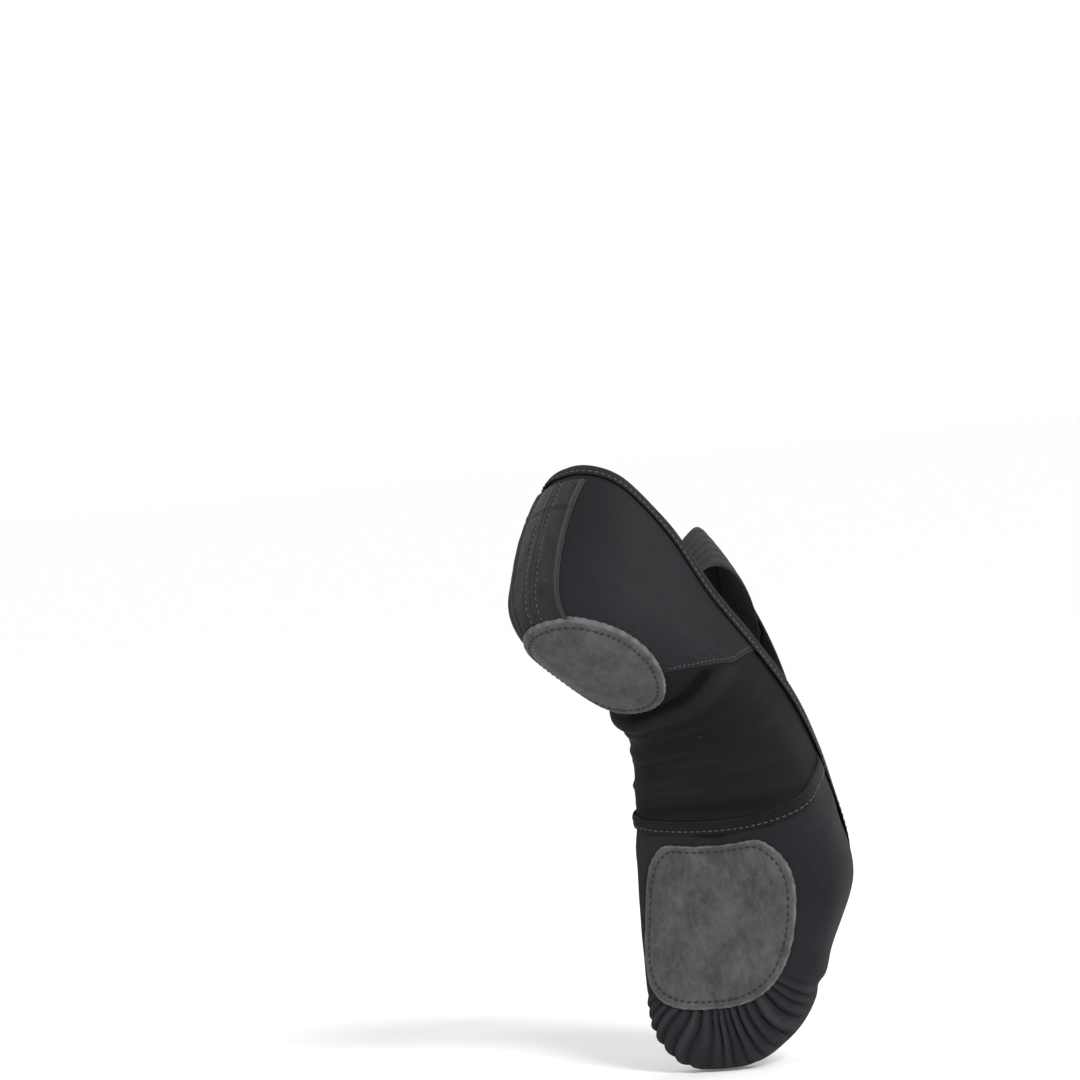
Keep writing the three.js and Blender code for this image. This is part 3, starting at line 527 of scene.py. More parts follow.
def nap_group():
    """Suede nap: large soft patches, brushed streaks and a fine grain."""
    tree, given, out = new_group(
        "suede nap", [("Place", "NodeSocketVector", None), ("Patch size", "NodeSocketFloat", 1.0),
                      ("Streak", "NodeSocketFloat", 0.5)],
        [("Tone", "NodeSocketFloat"), ("Height", "NodeSocketFloat")])
    place = given.outputs["Place"]
    large = noise(tree, place, 75, 6, 0.66, 0.35)
    streaked = tree.nodes.new("ShaderNodeMapping")
    streaked.inputs["Scale"].default_value = (1.0, 1.5, 0.9)
    streaked.inputs["Rotation"].default_value = (0.6, 0.3, 0.5)
    tree.links.new(place, streaked.inputs["Vector"])
    brushed = noise(tree, streaked.outputs["Vector"], 230, 5, 0.68, 0.5)
    grain = noise(tree, place, 2100, 3, 0.75)
    tone = maths(tree, "MULTIPLY_ADD", brushed, given.outputs["Streak"],
                 maths(tree, "MULTIPLY", large, given.outputs["Patch size"]))
    tone = maths(tree, "MULTIPLY_ADD", grain, 0.35, tone)
    tree.links.new(ranged(tree, tone, 0.55, 1.35), out.inputs["Tone"])
    tree.links.new(maths(tree, "MULTIPLY_ADD", grain, 0.75, maths(tree, "MULTIPLY", brushed, 0.5)),
                   out.inputs["Height"])
    return tree


def lint_group():
    """Specks and short fibres of pale lint, few and small."""
    tree, given, out = new_group(
        "lint", [("Place", "NodeSocketVector", None), ("Amount", "NodeSocketFloat", 0.3)],
        [("Mask", "NodeSocketFloat")])
    cells = tree.nodes.new("ShaderNodeTexVoronoi")
    cells.inputs["Scale"].default_value = 420
    stretched = tree.nodes.new("ShaderNodeMapping")
    stretched.inputs["Scale"].default_value = (1.0, 0.35, 0.6)
    tree.links.new(given.outputs["Place"], stretched.inputs["Vector"])
    tree.links.new(stretched.outputs["Vector"], cells.inputs["Vector"])
    dots = ranged(tree, cells.outputs["Distance"], 0.16, 0.02)
    where = ranged(tree, noise(tree, given.outputs["Place"], 240, 2), 0.56, 0.72)
    mask = maths(tree, "MULTIPLY", maths(tree, "MULTIPLY", dots, where), given.outputs["Amount"],
                 clamp=True)
    tree.links.new(mask, out.inputs["Mask"])
    return tree


def shade_group():
    """Slow change of tone over a piece, as dye and handling leave on black cloth."""
    tree, given, out = new_group(
        "uneven dye", [("Place", "NodeSocketVector", None), ("Amount", "NodeSocketFloat", 0.3)],
        [("Tone", "NodeSocketFloat")])
    slow = noise(tree, given.outputs["Place"], 28, 3, 0.5, 0.4)
    quick = noise(tree, given.outputs["Place"], 320, 4, 0.6)
    both = maths(tree, "MULTIPLY_ADD", quick, 0.35, maths(tree, "MULTIPLY", slow, 0.65))
    centred = maths(tree, "SUBTRACT", both, 0.5)
    tree.links.new(maths(tree, "MULTIPLY_ADD", centred, given.outputs["Amount"], 1.0),
                   out.inputs["Tone"])
    return tree


WEAVE, KNIT, NAP, LINT, DYE = weave_group(), knit_group(), nap_group(), lint_group(), shade_group()
print("shader groups:", [g.name for g in (WEAVE, KNIT, NAP, LINT, DYE)])


# %% Fabric materials
def grey(value, blue=0.0, warm=0.0):
    return (value * (1 + warm), value, value * (1 + blue), 1.0)


def scaled(colour, share):
    return tuple(v * share for v in colour[:3]) + (1.0,)


def start_material(name, roughness, sheen, sheen_rough, specular=0.07):
    material = bpy.data.materials.new(name)
    material.use_nodes = True
    tree = material.node_tree
    shader = tree.nodes["Principled BSDF"]
    shader.inputs["Roughness"].default_value = roughness
    shader.inputs["Specular IOR Level"].default_value = specular
    shader.inputs["Sheen Weight"].default_value = sheen
    shader.inputs["Sheen Roughness"].default_value = sheen_rough
    cloth = tree.nodes.new("ShaderNodeUVMap")
    cloth.uv_map = "cloth"
    place = tree.nodes.new("ShaderNodeTexCoord")
    return material, tree, shader, cloth.outputs["UV"], place.outputs["Object"]


def use_group(tree, group, **values):
    node = tree.nodes.new("ShaderNodeGroup")
    node.node_tree = group
    for label, value in values.items():
        feed(tree, node.inputs[label.replace("_", " ")], value)
    return node.outputs


def raise_surface(tree, shader, height, strength, distance):
    relief = tree.nodes.new("ShaderNodeBump")
    relief.inputs["Strength"].default_value = strength
    relief.inputs["Distance"].default_value = distance
    tree.links.new(height, relief.inputs["Height"])
    tree.links.new(relief.outputs["Normal"], shader.inputs["Normal"])


def mark_value(tree, name):
    node = tree.nodes.new("ShaderNodeAttribute")
    node.attribute_name = name
    return node.outputs["Fac"]


def woven_material(name, dark, light, pitch, group=WEAVE, roughness=0.88, sheen=0.05, dye=0.8,
                   lint=0.25, bump_distance=0.00016):
    material, tree, shader, cloth, place = start_material(name, roughness, sheen, 0.35)
    threads = use_group(tree, group, Cloth_map=cloth, Pitch=pitch)
    tone = use_group(tree, DYE, Place=place, Amount=dye)["Tone"]
    colour = blended(tree, threads["Thread"], dark, light)
    colour = blended(tree, 1.0, colour, tone, "MULTIPLY")
    # Painted shade: the colour is pulled towards near black in pleat valleys, fold tucks, grooves,
    # quilting lines, rib gaps, along the quarters' rear seam edge, and where the seam tape runs low
    # under the sole.
    colour = blended(tree, maths(tree, "MULTIPLY", mark_value(tree, "painted_shade"), 0.75), colour,
                     grey(0.002))
    # Painted highlight: the colour is lifted on the ridges of pleats and folds, and on the strip along
    # the quarters' rear seam edge.
    colour = blended(tree, maths(tree, "MULTIPLY", mark_value(tree, "pale_edge_and_highlight"), 0.6), colour,
                     scaled(light, 2.2))
    colour = blended(tree, use_group(tree, LINT, Place=place, Amount=lint)["Mask"], colour, grey(0.16))
    tree.links.new(colour, shader.inputs["Base Color"])
    rough = ranged(tree, threads["Thread"], 0, 1, roughness + 0.08, roughness - 0.06)
    tree.links.new(rough, shader.inputs["Roughness"])
    raise_surface(tree, shader, threads["Height"], 0.8, bump_distance)
    return material


def suede_material(name, dark, light):
    material, tree, shader, _, place = start_material(name, 0.95, 0.12, 0.5)
    nap = use_group(tree, NAP, Place=place, Patch_size=0.75, Streak=0.6)
    colour = blended(tree, nap["Tone"], dark, light)
    # The patches' cut edge is paler suede. On the backstay's raised turned edge the same lift is a
    # painted highlight.
    colour = blended(tree, maths(tree, "MULTIPLY", mark_value(tree, "pale_edge_and_highlight"), 0.55), colour,
                     scaled(light, 1.45))
    # Painted shade: near black in the patches' stitch channel and in the backstay's grooves.
    colour = blended(tree, maths(tree, "MULTIPLY", mark_value(tree, "painted_shade"), 0.8), colour, grey(0.006))
    colour = blended(tree, use_group(tree, LINT, Place=place, Amount=0.35)["Mask"], colour, grey(0.3))
    tree.links.new(colour, shader.inputs["Base Color"])
    tree.links.new(ranged(tree, nap["Tone"], 0, 1, 1.0, 0.85), shader.inputs["Roughness"])
    raise_surface(tree, shader, nap["Height"], 0.75, 0.00035)
    return material


def thread_material(name, colour):
    material, tree, shader, _, place = start_material(name, 0.6, 0.1, 0.3, 0.35)
    twist = tree.nodes.new("ShaderNodeTexWave")
    twist.wave_profile = "SIN"
    twist.inputs["Scale"].default_value = 900
    twist.inputs["Distortion"].default_value = 1.5
    tree.links.new(place, twist.inputs["Vector"])
    dull = scaled(colour, 0.55)
    tree.links.new(blended(tree, twist.outputs["Fac"], dull, colour), shader.inputs["Base Color"])
    tree.links.new(ranged(tree, twist.outputs["Fac"], 0, 1, 0.7, 0.5), shader.inputs["Roughness"])
    raise_surface(tree, shader, twist.outputs["Fac"], 0.5, 0.0001)
    return material


CANVAS_CLOTH = woven_material("black stretch canvas", grey(0.0062, 0.2), grey(0.0215, 0.18), 0.42)
BINDING_CLOTH = woven_material("canvas binding", grey(0.0062, 0.1), grey(0.023, 0.1), 0.42)
ARCH_KNIT = woven_material("black stretch knit", grey(0.004, 0.06), grey(0.0105, 0.05), 0.5, KNIT,
                           0.78, 0.035, 0.5, 0.12, 0.0001)
LINING_CLOTH = woven_material("cotton lining", grey(0.012, 0.1), grey(0.035, 0.08), 0.6,
                              roughness=0.92, sheen=0.1, lint=0.4)
ELASTIC = woven_material("ribbed elastic", grey(0.006, 0.1), grey(0.022, 0.06), 0.7, KNIT,
                         0.62, 0.06, 0.3, 0.1, 0.00012)
SUEDE = suede_material("grey suede", grey(0.019), grey(0.104))
BACKSTAY_CLOTH = suede_material("brushed backstay", grey(0.007, 0.05), grey(0.030, 0.05))
THREAD = thread_material("grey thread", grey(0.07, 0.06))
DARK_THREAD = thread_material("black thread", grey(0.009, 0.05))
print("fabrics:", [m.name for m in bpy.data.materials if m.use_nodes])


# %% [markdown]
# ## Stitches with Geometry Nodes
#
# A machine stitch is a short bridge of thread that sinks into the cloth at both ends, repeated
# along a line. A row could be one long modelled cord, but real stitches are separate, so a node
# tree walks along a path and sets one small stitch at every step. The path knows which way is
# out of the cloth. A tilt that changes sign from stitch to stitch gives a zigzag seam.

# %% The stitch tree
BEAD_RINGS = 5
# pitch, length and thickness of the stitches in each kind of seam
PATCH_STITCH, OPENING_STITCH, TAPE_STITCH = (2.9, 2.0, 0.7), (2.6, 1.9, 0.55), (2.6, 1.9, 0.5)
ZIGZAG_STITCH, BACKSTAY_STITCH = (2.0, 1.3, 0.42), (2.6, 1.7, 0.42)
ZIGZAG_TILT = 0.35


def stitch_tree():
    tree, given, out = new_group(
        "row of stitches",
        [("Path", "NodeSocketGeometry", None), ("Pitch", "NodeSocketFloat", 0.0025),
         ("Length", "NodeSocketFloat", 0.002), ("Thickness", "NodeSocketFloat", 0.0005),
         ("Tilt", "NodeSocketFloat", 0.0), ("Unevenness", "NodeSocketFloat", 0.12),
         ("Seed", "NodeSocketInt", 3), ("Sides", "NodeSocketInt", 8),
         ("Thread", "NodeSocketMaterial", None)],
        [("Stitches", "NodeSocketGeometry")], "GeometryNodeTree")
    given = given.outputs

    def add(kind, inputs, **settings):
        """A node's outputs; the settings come first, as they decide which inputs it has."""
        node = tree.nodes.new(kind)
        for label, value in settings.items():
            setattr(node, label, value)
        for label, value in inputs.items():
            feed(tree, node.inputs[label], value)
        return node.outputs

    curve = add("GeometryNodeMeshToCurve", {"Mesh": given["Path"]})["Curve"]
    spaced = add("GeometryNodeResampleCurve", {"Curve": curve, "Length": given["Pitch"]},
                 mode="LENGTH")["Curve"]
    tangent = add("GeometryNodeInputTangent", {})["Tangent"]
    outward = add("GeometryNodeInputNamedAttribute", {"Name": "outward"},
                  data_type="FLOAT_VECTOR")["Attribute"]
    facing = add("FunctionNodeAxesToRotation",
                 {"Primary Axis": tangent, "Secondary Axis": outward},
                 primary_axis="X", secondary_axis="Z")[0]
    # Even stitches tilt one way and odd ones the other, and each is a little off besides.
    parity = maths(tree, "MODULO", add("GeometryNodeInputIndex", {})[0], 2)
    tilt = maths(tree, "MULTIPLY", maths(tree, "MULTIPLY_ADD", parity, 2, -1), given["Tilt"])
    least = maths(tree, "MULTIPLY", given["Unevenness"], -1)
    loose = add("FunctionNodeRandomValue",
                {"Seed": given["Seed"], 2: least, 3: given["Unevenness"]}, data_type="FLOAT")[1]
    turn = add("FunctionNodeAxisAngleToRotation",
               {"Axis": (0, 0, 1), "Angle": maths(tree, "ADD", tilt, loose)})[0]
    aimed = add("FunctionNodeRotateRotation", {"Rotation": facing, "Rotate By": turn},
                rotation_space="LOCAL")[0]
    bead = add("GeometryNodeMeshUVSphere",
               {"Segments": given["Sides"], "Rings": BEAD_RINGS, "Radius": 0.5})["Mesh"]
    size = add("ShaderNodeCombineXYZ",
               {"X": given["Length"], "Y": given["Thickness"], "Z": given["Thickness"]})[0]
    placed = add("GeometryNodeInstanceOnPoints",
                 {"Points": spaced, "Instance": bead, "Rotation": aimed, "Scale": size})
    real = add("GeometryNodeRealizeInstances", {"Geometry": placed["Instances"]})["Geometry"]
    painted = add("GeometryNodeSetMaterial", {"Geometry": real, "Material": given["Thread"]})
    feed(tree, out.inputs["Stitches"], painted["Geometry"])
    return tree


STITCHES = stitch_tree()


def baked(carrier, name):
    """The evaluated result of a carrier's modifiers as a plain mesh object; the carrier goes."""
    bpy.context.view_layer.update()
    result = carrier.evaluated_get(bpy.context.evaluated_depsgraph_get())
    mesh = bpy.data.meshes.new_from_object(result)
    mesh.name = name
    bpy.data.objects.remove(carrier)
    mesh.polygons.foreach_set("use_smooth", [True] * len(mesh.polygons))
    obj = bpy.data.objects.new(name, mesh)
    bpy.context.scene.collection.objects.link(obj)
    return obj


def path_carrier(points, outward, closed):
    """A line of edges in the model's frame that also says which way is out of the cloth."""
    count = len(points)
    edges = [(i, i + 1) for i in range(count - 1)] + ([(count - 1, 0)] if closed else [])
    mesh = bpy.data.meshes.new("path")
    mesh.from_pydata(np.asarray(points).tolist(), edges, [])
    mesh.attributes.new("outward", "FLOAT_VECTOR", "POINT").data.foreach_set(
        "vector", np.asarray(outward, np.float32).ravel())
    carrier = bpy.data.objects.new("path", mesh)
    bpy.context.scene.collection.objects.link(carrier)
    return carrier


def with_tree(carrier, tree, values):
    modifier = carrier.modifiers.new("rule", "NODES")
    modifier.node_group = tree
    for item in tree.interface.items_tree:
        if item.item_type == "SOCKET" and item.in_out == "INPUT" and item.name in values:
            modifier[item.identifier] = values[item.name]
    return carrier


def stitch_row(name, low, high, closed, pitch, length, thickness, tilt=0.0, thread=None, seed=3,
               sides=8, unevenness=0.12):
    """Stitches along the flat path low; high is the same path a little further out."""
    points, above = in_frame(low), in_frame(high)
    outward = above - points
    outward /= np.maximum(np.linalg.norm(outward, axis=-1, keepdims=True), 1e-12)
    carrier = with_tree(path_carrier(points, outward, closed), STITCHES, {
        "Pitch": pitch * 0.001, "Length": length * 0.001, "Thickness": thickness * 0.001,
        "Tilt": tilt, "Seed": seed, "Sides": sides, "Unevenness": unevenness,
        "Thread": thread or THREAD})
    obj = baked(carrier, name)
    print(name, "stitches:", len(obj.data.polygons) // (sides * BEAD_RINGS))
    return obj


# %% [markdown]
# ## Who moves with what
#
# The arch is the one place where the slipper bends. The suede patches stay stiff and ride on one side,
# as do the backstay and the stitches on them; every other piece is baked in place.

# %% Attaching pieces
def finish_piece(obj, material, nodes, body=None):
    if material is not None:
        obj.data.materials.clear()
        obj.data.materials.append(material)
    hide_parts(*nodes)
    if body:
        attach(obj, body)
    else:
        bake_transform(obj)
    print(obj.name, len(obj.data.vertices), "points")
    return obj


# %% [markdown]
# ## Folds and gathers
#
# Three things shape the cloth over the form. The toe is gathered: a drawn thread pulls the
# canvas into pleats that fan out from under the front patch. The arch knit is pushed together on
# the sole side and lies in small cross folds. Elsewhere the canvas is only a little uneven. Each
# is a distance added to the form, shared by every layer at that place, so that layers never
# cross. Displacement textures would do the same, but a rule in one function can be shared.

# %% Shape rules
FRONT_PATCH = dict(x=187.0, y=4.0, half_length=35.0, half_width=33.0, squareness=2.8, dip=4.0)
HEEL_PATCH = dict(x=37.0, y=-1.0, half_length=34.5, half_width=24.0, squareness=2.1, dip=0.0)
GATHER_CENTRE = (200.0, 6.0)
PLEATS, PLEAT_REACH = 25.0, 1.75                  # pleats across, and half their fan in radians
# places from the heel, in millimetres along the flat slipper
TOE_CREASE, REAR_TUCK, TUCK_RIDGE, FRONT_TUCK = 213, 75, 82.5, 143.5
# cross folds of the arch: place from the heel, height, width, and slope across the sole
ARCH_FOLDS = ((90, 0.8, 2.0, 0.14), (96.5, 1.1, 2.3, -0.05), (104, 0.7, 1.9, 0.16),
              (111, 1.0, 2.2, 0.02), (119, 0.7, 2.0, -0.12), (127, 1.0, 2.3, 0.07),
              (135, 0.8, 2.0, -0.04))


def patch_distance(patch, x, aside):
    """Millimetres outside a patch's outline, negative inside."""
    power = patch["squareness"]
    ring = ((np.abs(x - patch["x"]) / patch["half_length"]) ** power
            + (np.abs(aside - patch["y"]) / patch["half_width"]) ** power) ** (1 / power)
    return (ring - 1) * (patch["half_length"] + patch["half_width"]) / 2


def ripple(a, b, seed):
    """Soft unevenness between -1 and 1."""
    return (np.sin(a * 0.081 + seed) * np.cos(b * 0.067 + 1.7 * seed)
            + 0.6 * np.sin(a * 0.16 - b * 0.11 + 2.3 * seed)
            + 0.35 * np.sin(a * 0.05 + b * 0.31 + 0.7 * seed)) / 1.95


def gathers(x, y, height):
    """Pleats at the toe: ridge profile from -1 in a valley to 1 on a ridge, and their strength."""
    spread = np.arctan2(y - GATHER_CENTRE[1], np.maximum(x - GATHER_CENTRE[0], -60))
    radius = np.hypot(x - GATHER_CENTRE[0], y - GATHER_CENTRE[1])
    wander = (0.02 * np.sin(radius * 0.22 + 4 * spread) + 0.05 * np.sin(6.1 * spread + 0.8)
              + 0.012 * np.sin(13 * spread))
    phase = (spread + wander) / (2 * PLEAT_REACH) * PLEATS
    ridge = 2 * np.abs(np.cos(np.pi * phase)) ** 0.7 - 1
    size = 0.7 + 0.3 * np.sin(2.4 * np.floor(phase + 0.5) + 1.1)
    low = 1 - smooth(height, 2, 14)
    inside = 1 - smooth(np.abs(spread + 0.05), 0.7, 1.4)
    away = patch_distance(FRONT_PATCH, x, y - centre_line(np.clip(x / FOOT_LENGTH, 0, 1)))
    gathered = smooth(away, -3, 2) * (0.4 + 0.6 * (1 - smooth(away, 7, 22)))
    return ridge, size * low * inside * gathered


def sole_dimple(x, y):
    """Hollow at the middle of the front patch's rear edge, with a soft ridge each side."""
    back = FRONT_PATCH["x"] - FRONT_PATCH["half_length"]
    reach = 1 - smooth(x, back, back + 26)
    valley = bump(y, 2, 5 + 0.35 * np.maximum(x - back, 0))
    sides = bump(y, -15, 7) + bump(y, 18, 7)
    return reach * (0.5 * sides - 1.5 * valley) * smooth(x, back - 14, back)


def vamp_relief(t, angle):
    flat = form_point(t, angle, CANVAS_OUT)
    x, y, height = flat[..., 0], flat[..., 1], flat[..., 2]
    ridge, strength = gathers(x, y, height)
    pleat = strength * (1.8 * ridge - 0.3)
    sole = 1 - smooth(height, 2, 12)
    aside = y - centre_line(t)
    outside = smooth(patch_distance(FRONT_PATCH, x, aside), 1, 7)
    # The cloth bulges behind the toe joint and creases across it, most on the outer side.
    over = smooth(height, 3, 10)
    crease_at = TOE_CREASE + 0.10 * height
    crease = 0.9 * bump(x, crease_at - 5, 5.5) - 0.8 * bump(x, crease_at + 1.5, 2.6)
    crease *= over * (0.45 + 0.55 * smooth(-aside, -10, 14))
    soft = 0.7 * ripple(x, y * 1.3 + height, 1.0) * over * smooth(x, 135, 165)
    tension = 0.35 * np.sin((x - 140) * 0.33 + height * 0.2) * bump(x, 150, 14) * over
    relief = pleat + crease + soft + tension + sole * sole_dimple(x, y)
    relief += 0.4 * outside * sole * ripple(x * 2.4, y * 2.4, 3.0)
    # Besides the height, the pleats give a mask of painted shade in their valleys and one of painted
    # highlight on their ridges.
    return relief, strength * np.clip(-ridge, 0, 1), strength * np.clip(ridge, 0, 1) ** 2


def arch_relief(t, angle, rise, share):
    flat = form_point(t, angle, KNIT_OUT)
    x, y, height = flat[..., 0], flat[..., 1], flat[..., 2]
    low = 1 - smooth(height, 14, 34)
    aside = y - centre_line(t)
    inner = 0.55 + 0.45 * smooth(aside, -12, 20)
    relief = -2.3 * bump(x - 0.04 * aside, REAR_TUCK, 3.0) + 2.3 * bump(
        x - 0.06 * aside, TUCK_RIDGE, 4.4)
    for k, (place, tall, wide, slope) in enumerate(ARCH_FOLDS):
        along = 0.6 + 0.4 * np.sin(aside * 0.12 + 2.1 * k)
        relief = relief + tall * along * inner * bump(x - slope * aside, place, wide)
    relief += -1.1 * bump(x - 0.02 * aside, FRONT_TUCK, 2.6)
    covered = 1 - smooth(rise, 0.28, 0.42)              # the heel patch hides the seam on the sole
    seams = np.maximum(smooth(share, 0.01, 0.07), covered)
    seams = seams * (1 - smooth(share, 0.94, 1)) * (1 - smooth(rise, 0.86, 0.97))
    relief = (relief * low + 0.3 * ripple(x * 1.5, height * 1.5 + y, 2.0)) * seams
    # The masks below are painted shade in the two tucks and the fold valleys, and a painted highlight on
    # the fold ridges.
    tucks = bump(x, REAR_TUCK + 1, 3.6) + 0.6 * bump(x, FRONT_TUCK + 0.5, 2.6)
    painted_shade = low * seams * (tucks + 0.25 * (0.5 - 0.5 * np.clip(relief, -1, 1)))
    return relief, painted_shade, np.clip(relief, 0, 1) * low * seams


def quarter_relief(t, angle, rise, share):
    flat = form_point(t, angle, CANVAS_OUT)
    x, y, height = flat[..., 0], flat[..., 1], flat[..., 2]
    over = smooth(height, 8, 20) * (1 - smooth(rise, 0.8, 0.96))
    relief = 0.45 * over * ripple(x * 0.9, height * 1.1 + y, 4.0)
    seam = bump(share, 0.93, 0.05)
    wave = np.sin(height * 1.35 + 1.2 * np.sin(height * 0.4))
    pucker = 0.22 * seam * wave * smooth(rise, 0.35, 0.5)
    flat_edge = 1 - smooth(share, 0.955, 0.995)
    # The second value is a narrow strip at the rear seam edge. It is used for both painted shade and
    # painted highlight.
    return (relief + pucker) * flat_edge, 0.5 * bump(share, 1.0, 0.012)


# %% [markdown]
# ## Seams and the opening's edge
#
# The panels meet along three lines: quarters to arch knit, arch knit to vamp, and the opening's
# edge. Each line is one function, used by the panels on both sides of it and by the trims that
# cover it.

# %% Seam lines
def side_angle(t):
    return angle_at_height(t, topline_height(t))


PANEL_GAP, TAPE_GAP = 0.0001, 0.0006          # shares of the length left open under the seams
THROAT_START = SEAM_FRONT_OUTER
THROAT_ANGLE = float(side_angle(THROAT_START))


def throat_place(angle):
    c = 1 - (angle - THROAT_ANGLE) / (90 - THROAT_ANGLE)
    return THROAT_START + (THROAT_PLACE - THROAT_START) * np.sqrt(np.maximum(0, 1 - c * c))


def throat_angle(t):
    s = np.clip((t - THROAT_START) / (THROAT_PLACE - THROAT_START), 0, 1)
    return THROAT_ANGLE + (90 - THROAT_ANGLE) * (1 - np.sqrt(1 - s * s))


def edge_angle(t):
    return np.where(t < THROAT_START, side_angle(t), throat_angle(t))


def mirrored(angle, side):
    return np.where(side < 0, angle, 180 - angle)


def rear_seam(rise):
    return SEAM_REAR_SOLE + (SEAM_REAR_TOP - SEAM_REAR_SOLE) * rise ** 1.2


def seam_corner(side):
    """Where the vamp's seam meets the opening's edge: share of the length, and angle."""
    t = np.where(side < 0, SEAM_FRONT_OUTER, SEAM_FRONT_INNER)
    return t, throat_angle(t)


def front_seam(rise, side):
    top, _ = seam_corner(side)
    return SEAM_FRONT_SOLE + (top - SEAM_FRONT_SOLE) * rise ** 1.5


def eased(count):
    return 1 - np.cos(np.linspace(0, 1, count + 1) * math.pi / 2)


def crowded(count, near=0.35):
    """Steps from 0 to 1 that crowd together where the section turns up from the sole."""
    s = np.linspace(0, 1, count + 1)
    return s + near * np.sin(2 * math.pi * s) / (2 * math.pi) * -0.6


def topline_path(side):
    corner, corner_angle = seam_corner(side)
    quarter = eased(70) * SEAM_REAR_TOP
    arch = np.linspace(SEAM_REAR_TOP, corner, 41)[1:]
    angles = corner_angle + (90 - corner_angle) * eased(60)[1:]
    t = np.concatenate([quarter, arch, throat_place(angles)])
    angle = np.concatenate([edge_angle(np.concatenate([quarter, arch])), angles])
    return t, mirrored(angle, side)


outer_t, outer_angle = topline_path(-1)
inner_t, inner_angle = topline_path(1)
loop_t = np.concatenate([outer_t, inner_t[1:-1][::-1]])
loop_angle = np.concatenate([outer_angle, inner_angle[1:-1][::-1]])


def unit(vectors):
    return vectors / np.linalg.norm(vectors, axis=-1, keepdims=True)


T_STEP, A_STEP = 0.002, 0.5                   # small steps of t and of the angle, for slopes


def beside_path(path, distance, off):
    """Points beside a path on the form: distance square to it along the surface, off outward."""
    t, angle, closed = path
    if closed:
        before_t, after_t = np.roll(t, 1), np.roll(t, -1)
        before_a, after_a = np.roll(angle, 1), np.roll(angle, -1)
        before_a = before_a - 360 * np.round((before_a - angle) / 360)
        after_a = after_a - 360 * np.round((after_a - angle) / 360)
    else:
        before_t, before_a = np.append(t[:1], t[:-1]), np.append(angle[:1], angle[:-1])
        after_t, after_a = np.append(t[1:], t[-1:]), np.append(angle[1:], angle[-1:])
    distance, off = np.broadcast_arrays(np.atleast_2d(distance), np.atleast_2d(off))
    wide = (len(t), off.shape[1])
    distance, off = np.broadcast_to(distance, wide), np.broadcast_to(off, wide)
    t, angle, before_t, before_a, after_t, after_a = (
        v[:, None] for v in (t, angle, before_t, before_a, after_t, after_a))
    along = unit(form_point(after_t, after_a, off) - form_point(before_t, before_a, off))
    dt = form_point(np.minimum(t + T_STEP, 1), angle, off) - form_point(
        np.maximum(t - T_STEP, 0), angle, off)
    da = form_point(t, angle + A_STEP, off) - form_point(t, angle - A_STEP, off)
    across = unit(np.cross(along, unit(np.cross(dt, da))))
    t_rate = np.sum(across * dt, -1) / np.sum(dt * dt, -1)
    a_rate = np.sum(across * da, -1) / np.sum(da * da, -1)
    return form_point(t + distance * t_rate * 2 * T_STEP, angle + distance * a_rate * 2 * A_STEP,
                      off)


print("opening's edge:", round(float(np.sum(np.linalg.norm(
    np.diff(in_frame(form_point(loop_t, loop_angle, CANVAS_OUT)), axis=0), axis=-1))) * 1000), "mm")


# %% [markdown]
# ## The cloth panels
#
# The vamp covers the toes and closes at their tip; the quarters wrap the heel in two halves; the
# knit joins them under and beside the arch. Canvas and lining are cut alike, so each panel is
# made twice, at two distances from the foot.

# %% Vamp
VAMP_ROWS, VAMP_TIP = 150, 0.996
vamp_low = np.linspace(0, 1, 94) * (0.4 + 0.6 * np.linspace(0, 1, 94))   # finer along the sole


def vamp_columns():
    angles, sides = [], []
    for side in (-1, 1):
        corner = float(seam_corner(side)[1])
        lower = -90 + vamp_low * (corner + 90)
        upper = corner + (90 - corner) * eased(46)[1:]
        column = np.concatenate([lower, upper])
        column = column if side < 0 else column[1:-1][::-1]
        angles.append(column)
        sides.append(np.full(len(column), side))
    return np.concatenate(angles), np.concatenate(sides)


def vamp_grid():
    angle, side = vamp_columns()
    _, corner = seam_corner(side)
    rise = np.clip((angle + 90) / (corner + 90), 0, 1)
    start = np.where(angle >= corner, throat_place(angle), front_seam(rise, side) + TAPE_GAP)
    share = np.linspace(0, 1, VAMP_ROWS)[:, None]
    t = start + (VAMP_TIP - start) * (share + np.sin(share * math.pi / 2)) / 2
    angle, side = np.broadcast_to(angle, t.shape), np.broadcast_to(side, t.shape)
    return t, angle, side, np.broadcast_to(share, t.shape)


def make_vamp(name, off_in, off_out, node, material):
    t, angle, side, share = vamp_grid()
    angle = mirrored(angle, side)
    relief, painted_shade, pale_edge_and_highlight = vamp_relief(t, angle)
    relief = relief * smooth(share, 0.0, 0.05) * (1 - smooth(share, 0.97, 1.0))
    tips = np.array([[FOOT_LENGTH + off, float(centre_line(1)), float(widest_height(1))]
                     for off in (off_out, off_in)])
    obj = double_cloth(name, form_point(t, angle, off_out + relief),
                       form_point(t, angle, off_in + relief), True, tips,
                       {"painted_shade": painted_shade, "pale_edge_and_highlight": pale_edge_and_highlight})
    return finish_piece(obj, material, [node])


make_vamp("toe_vamp", CANVAS_IN, CANVAS_OUT, "vamp", CANVAS_CLOTH)
make_vamp("toe_vamp_lining", 0.0, LINING_OUT, "vamp_lining", LINING_CLOTH)

# %% Quarters
QUARTER_COLUMNS, QUARTER_RINGS = 84, 96
MIDDLE_GAP = 0.15                             # from the heel's middle to each half


